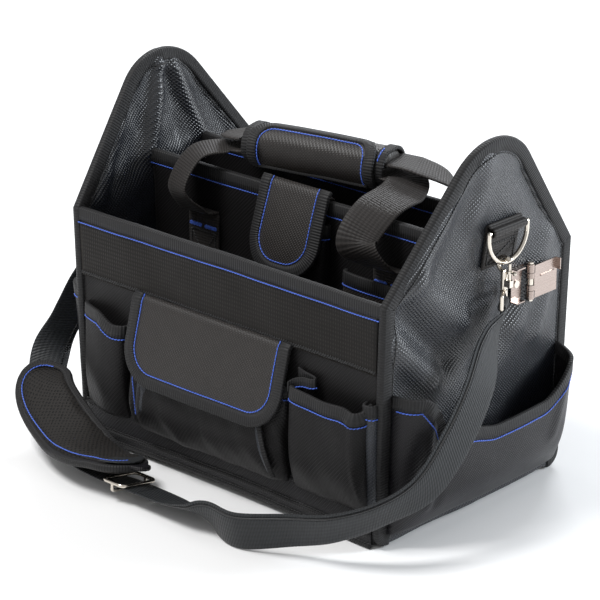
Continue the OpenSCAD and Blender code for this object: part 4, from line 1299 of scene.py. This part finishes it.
def shoulder_pad():
    """Stuffed pad of spacer mesh with a taped edge, a webbing patch and a tab at its lower tip."""
    c, w, up = pad_frames()
    s = lengths(c)
    total = s[-1]
    tip = np.minimum(s, total - s)
    half = (PAD_W / 2 - 3) * np.sqrt(np.clip(1 - (1 - np.clip(tip / 34, 0, 1)) ** 2.4, 0.02, 1))
    u = np.linspace(-1, 1, 25)
    crown = np.clip(1 - np.abs(u) ** 3.2, 0, 1) ** 0.6
    rise = ((PAD_T / 2 - 1.2) * crown[None] * (0.25 + 0.75 * ease(tip / 16)[:, None]) + 1.0)[..., None]
    mid = c[:, None] + w[:, None] * (half[:, None] * u)[..., None]
    verts, faces = shell(mid + up[:, None] * rise, mid - up[:, None] * (rise * 0.9))
    flat = np.stack([(half[:, None] * u).ravel(), np.repeat(s, len(u))], 1)
    pad = piece("shoulder_pad_cover", verts, faces, "pad_mesh", np.concatenate([flat, flat]),
                stands_for=["shoulder_pad"])
    puff(pad, 0.004, 3.0, 0.0025)

    pad_edge(c, w, up, s, half)
    pad_tip(c, w, up, np.maximum(half - 3.5, 4))


def pad_edge(c, w, up, s, half):
    """Tape all round the pad, and stitches along its outer side."""
    total, last = s[-1], len(c) - 1

    def place(a, b):
        k = np.clip(b / total, 0, 1) * last
        i = np.clip(k.astype(int), 0, last - 1)
        f = (k - i)[..., None]
        over = (b - np.clip(b, 0, total))[..., None]
        middle, across = (v[i] * (1 - f) + v[i + 1] * f for v in (c, w))
        return middle + across * np.asarray(a)[..., None] + unit(c[1:] - c[:-1])[i] * over
    outline = np.concatenate([np.stack([half, s], 1), np.stack([-half[::-1], s[::-1]], 1)])
    ring = refine(np.concatenate([outline, outline[:1]]), 2.5)[:-1]
    p, q = place(*ring.T), place(*inset(ring, 2).T)
    k = len(p) // 4
    centre = place(np.array([0.0]), np.array([total / 2]))[0]
    turn = 1 if (centre - p[k]) @ (q - p)[k] > 0 else -1
    normal = up[np.round(np.clip(ring[:, 1] / total, 0, 1) * last).astype(int)]
    binding("shoulder_pad_tape", p, (q - p) * turn, normal, 3.4, w=6.0, closed=True)
    seam_lift = 2.8 + (PAD_T / 2 - 1.2) * 0.78
    line = place(*inset(ring, 7.8 * turn).T) + normal * seam_lift
    outer = slice(int(len(line) * 0.46), len(line) - 3)
    stitches("shoulder_pad_seam", line[outer], normal[outer])


def pad_tip(c, w, up, half):
    """Webbing patch over the pad's lower tip, and the tab that sticks out of it."""
    k = slice(0, 15)
    webbing("pad_tip_patch", c[k] + up[k] * (PAD_T / 2 + 0.1), w[k], up[k], half[k], 1.6, "strap_webbing")
    reach = np.linspace(-9, 13, 12)[:, None]
    tab_half = 9.0 * np.sqrt(np.clip(1 - (np.linspace(-1, 1, 12) * 0.97) ** 4, 0.03, 1))
    tab = c[0] + unit(c[0] - c[1]) * reach + up[0] * 1.5
    webbing("pad_tip_tab", tab, repeat(w[0], 12), repeat(up[0], 12), tab_half, 4.0, "base_fabric")


shoulder_pad()


# ---------- carried-over CAD nodes ----------

def finish_cad(names, mat):
    for name in names:
        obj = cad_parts[name]
        obj.data.materials.clear()
        obj.data.materials.append(MATS[mat])
        obj.data.shade_smooth()
        obj.data.set_sharp_from_angle(angle=math.radians(40))


SLIDER_X, SLIDER_RUN, SLIDER_WIRE = -58.0, 28.0, 1.8


def slider():
    """Three-bar slider bent from wire, its middle bar under the webbing."""
    half, rise, r = STRAP_W / 2 + 2.6, STRAP_T / 2 + SLIDER_WIRE + 0.4, 6.0
    tilt = math.radians(-10)
    ey = np.array([0, math.cos(tilt), math.sin(tilt)])
    ez = np.array([0, -math.sin(tilt), math.cos(tilt)])
    centre = np.array([SLIDER_X, -200.0, 12.0])
    corners = [(SLIDER_RUN / 2 - r, half - r, 0), (-SLIDER_RUN / 2 + r, half - r, 90),
               (-SLIDER_RUN / 2 + r, -half + r, 180), (SLIDER_RUN / 2 - r, -half + r, 270)]
    loop = refine(np.concatenate([arc(x, y, r, a, a + 90, 8) for x, y, a in corners]
                                 + [[[SLIDER_RUN / 2, half - r]]]), 1.5)[:-1]
    path = centre + loop[:, :1] * np.array([1.0, 0, 0]) + loop[:, 1:] * ey + rise * ez
    wire = SLIDER_WIRE * CIRCLE
    out = unit(np.cross(unit(np.roll(path, -1, 0) - np.roll(path, 1, 0)), ez))
    swept("slider_loop", "nickel", wire, path, out, repeat(ez, len(path)), closed=True, body="slider",
          stands_for=["strap_slider"])
    bar = smooth([[-half, rise], [-half, 0], [-half + 2.5, -rise + 0.3], [0, -rise],
                  [half - 2.5, -rise + 0.3], [half, 0], [half, rise]], 10)
    path = centre + bar[:, :1] * ey + bar[:, 1:] * ez
    out = repeat([1, 0, 0], len(path))
    swept("slider_bar", "nickel", wire * 0.92, path, out, np.cross(out, tangents(path)), body="slider")


slider()
finish_cad(["left_d_ring", "right_d_ring", "left_swivel_eye", "right_swivel_eye", "left_snap_hook",
            "right_snap_hook", "left_hook_bolt", "right_hook_bolt", "clip_pin", "clip_rivets",
            "clip_spring"], "nickel")
finish_cad(["clip_base", "clip_jaw"], "clip_nickel")
finish_cad(["base_board"], "board")


# ---------- floor, light and camera ----------

def stage_floor():
    mesh = bpy.data.meshes.new("floor")
    size = 6.0
    corners = [(-size, -size, 0), (size, -size, 0), (size, size, 0), (-size, size, 0)]
    mesh.from_pydata(corners, [], [(0, 1, 2, 3)])
    mat, _, bsdf = nodes_of("floor_paper")
    tune(bsdf, Base_Color=(0.93, 0.93, 0.93, 1), Roughness=0.9)
    mesh.materials.append(mat)
    put("floor", mesh)


def aim(obj, place, way):
    """Stands a lamp or camera at place, looking along way."""
    obj.location = place
    obj.rotation_euler = way.to_track_quat("-Z", "Y").to_euler()


def softbox(name, place, size, watts, color=(1, 1, 1)):
    """A soft lamp aimed at the middle of the bag."""
    data = bpy.data.lights.new(name, "AREA")
    data.shape = "RECTANGLE"
    data.size, data.size_y = size
    data.energy = watts
    data.color = color
    aim(put(name, data), place, Vector((0, 0, 0.18)) - Vector(place))


def studio():
    bpy.context.scene.view_settings.view_transform = "Standard"
    world = bpy.data.worlds.new("studio")
    world.use_nodes = True
    tune(world.node_tree.nodes["Background"], Color=(1, 1, 1, 1), Strength=0.5)
    bpy.context.scene.world = world
    softbox("key", (-0.6, -1.1, 2.3), (0.8, 0.8), 46)
    softbox("side", (1.6, 1.5, 0.9), (0.4, 0.8), 38, (0.88, 0.94, 1))
    softbox("back", (-0.9, 1.9, 1.8), (1.2, 0.5), 34, (0.93, 0.96, 1))


def photo_camera():
    """The photograph's viewing angle."""
    azimuth, elevation, distance = math.radians(43), math.radians(21), 2.72
    target = Vector((-0.024, 0, 0.150))
    back = Vector((math.sin(azimuth) * math.cos(elevation), -math.cos(azimuth) * math.cos(elevation),
                   math.sin(elevation)))
    data = bpy.data.cameras.new("camera")
    data.lens, data.sensor_width = 169, 36
    cam = put("camera", data)
    aim(cam, target + back * distance, -back)
    bpy.context.scene.camera = cam


stage_floor()
studio()
photo_camera()
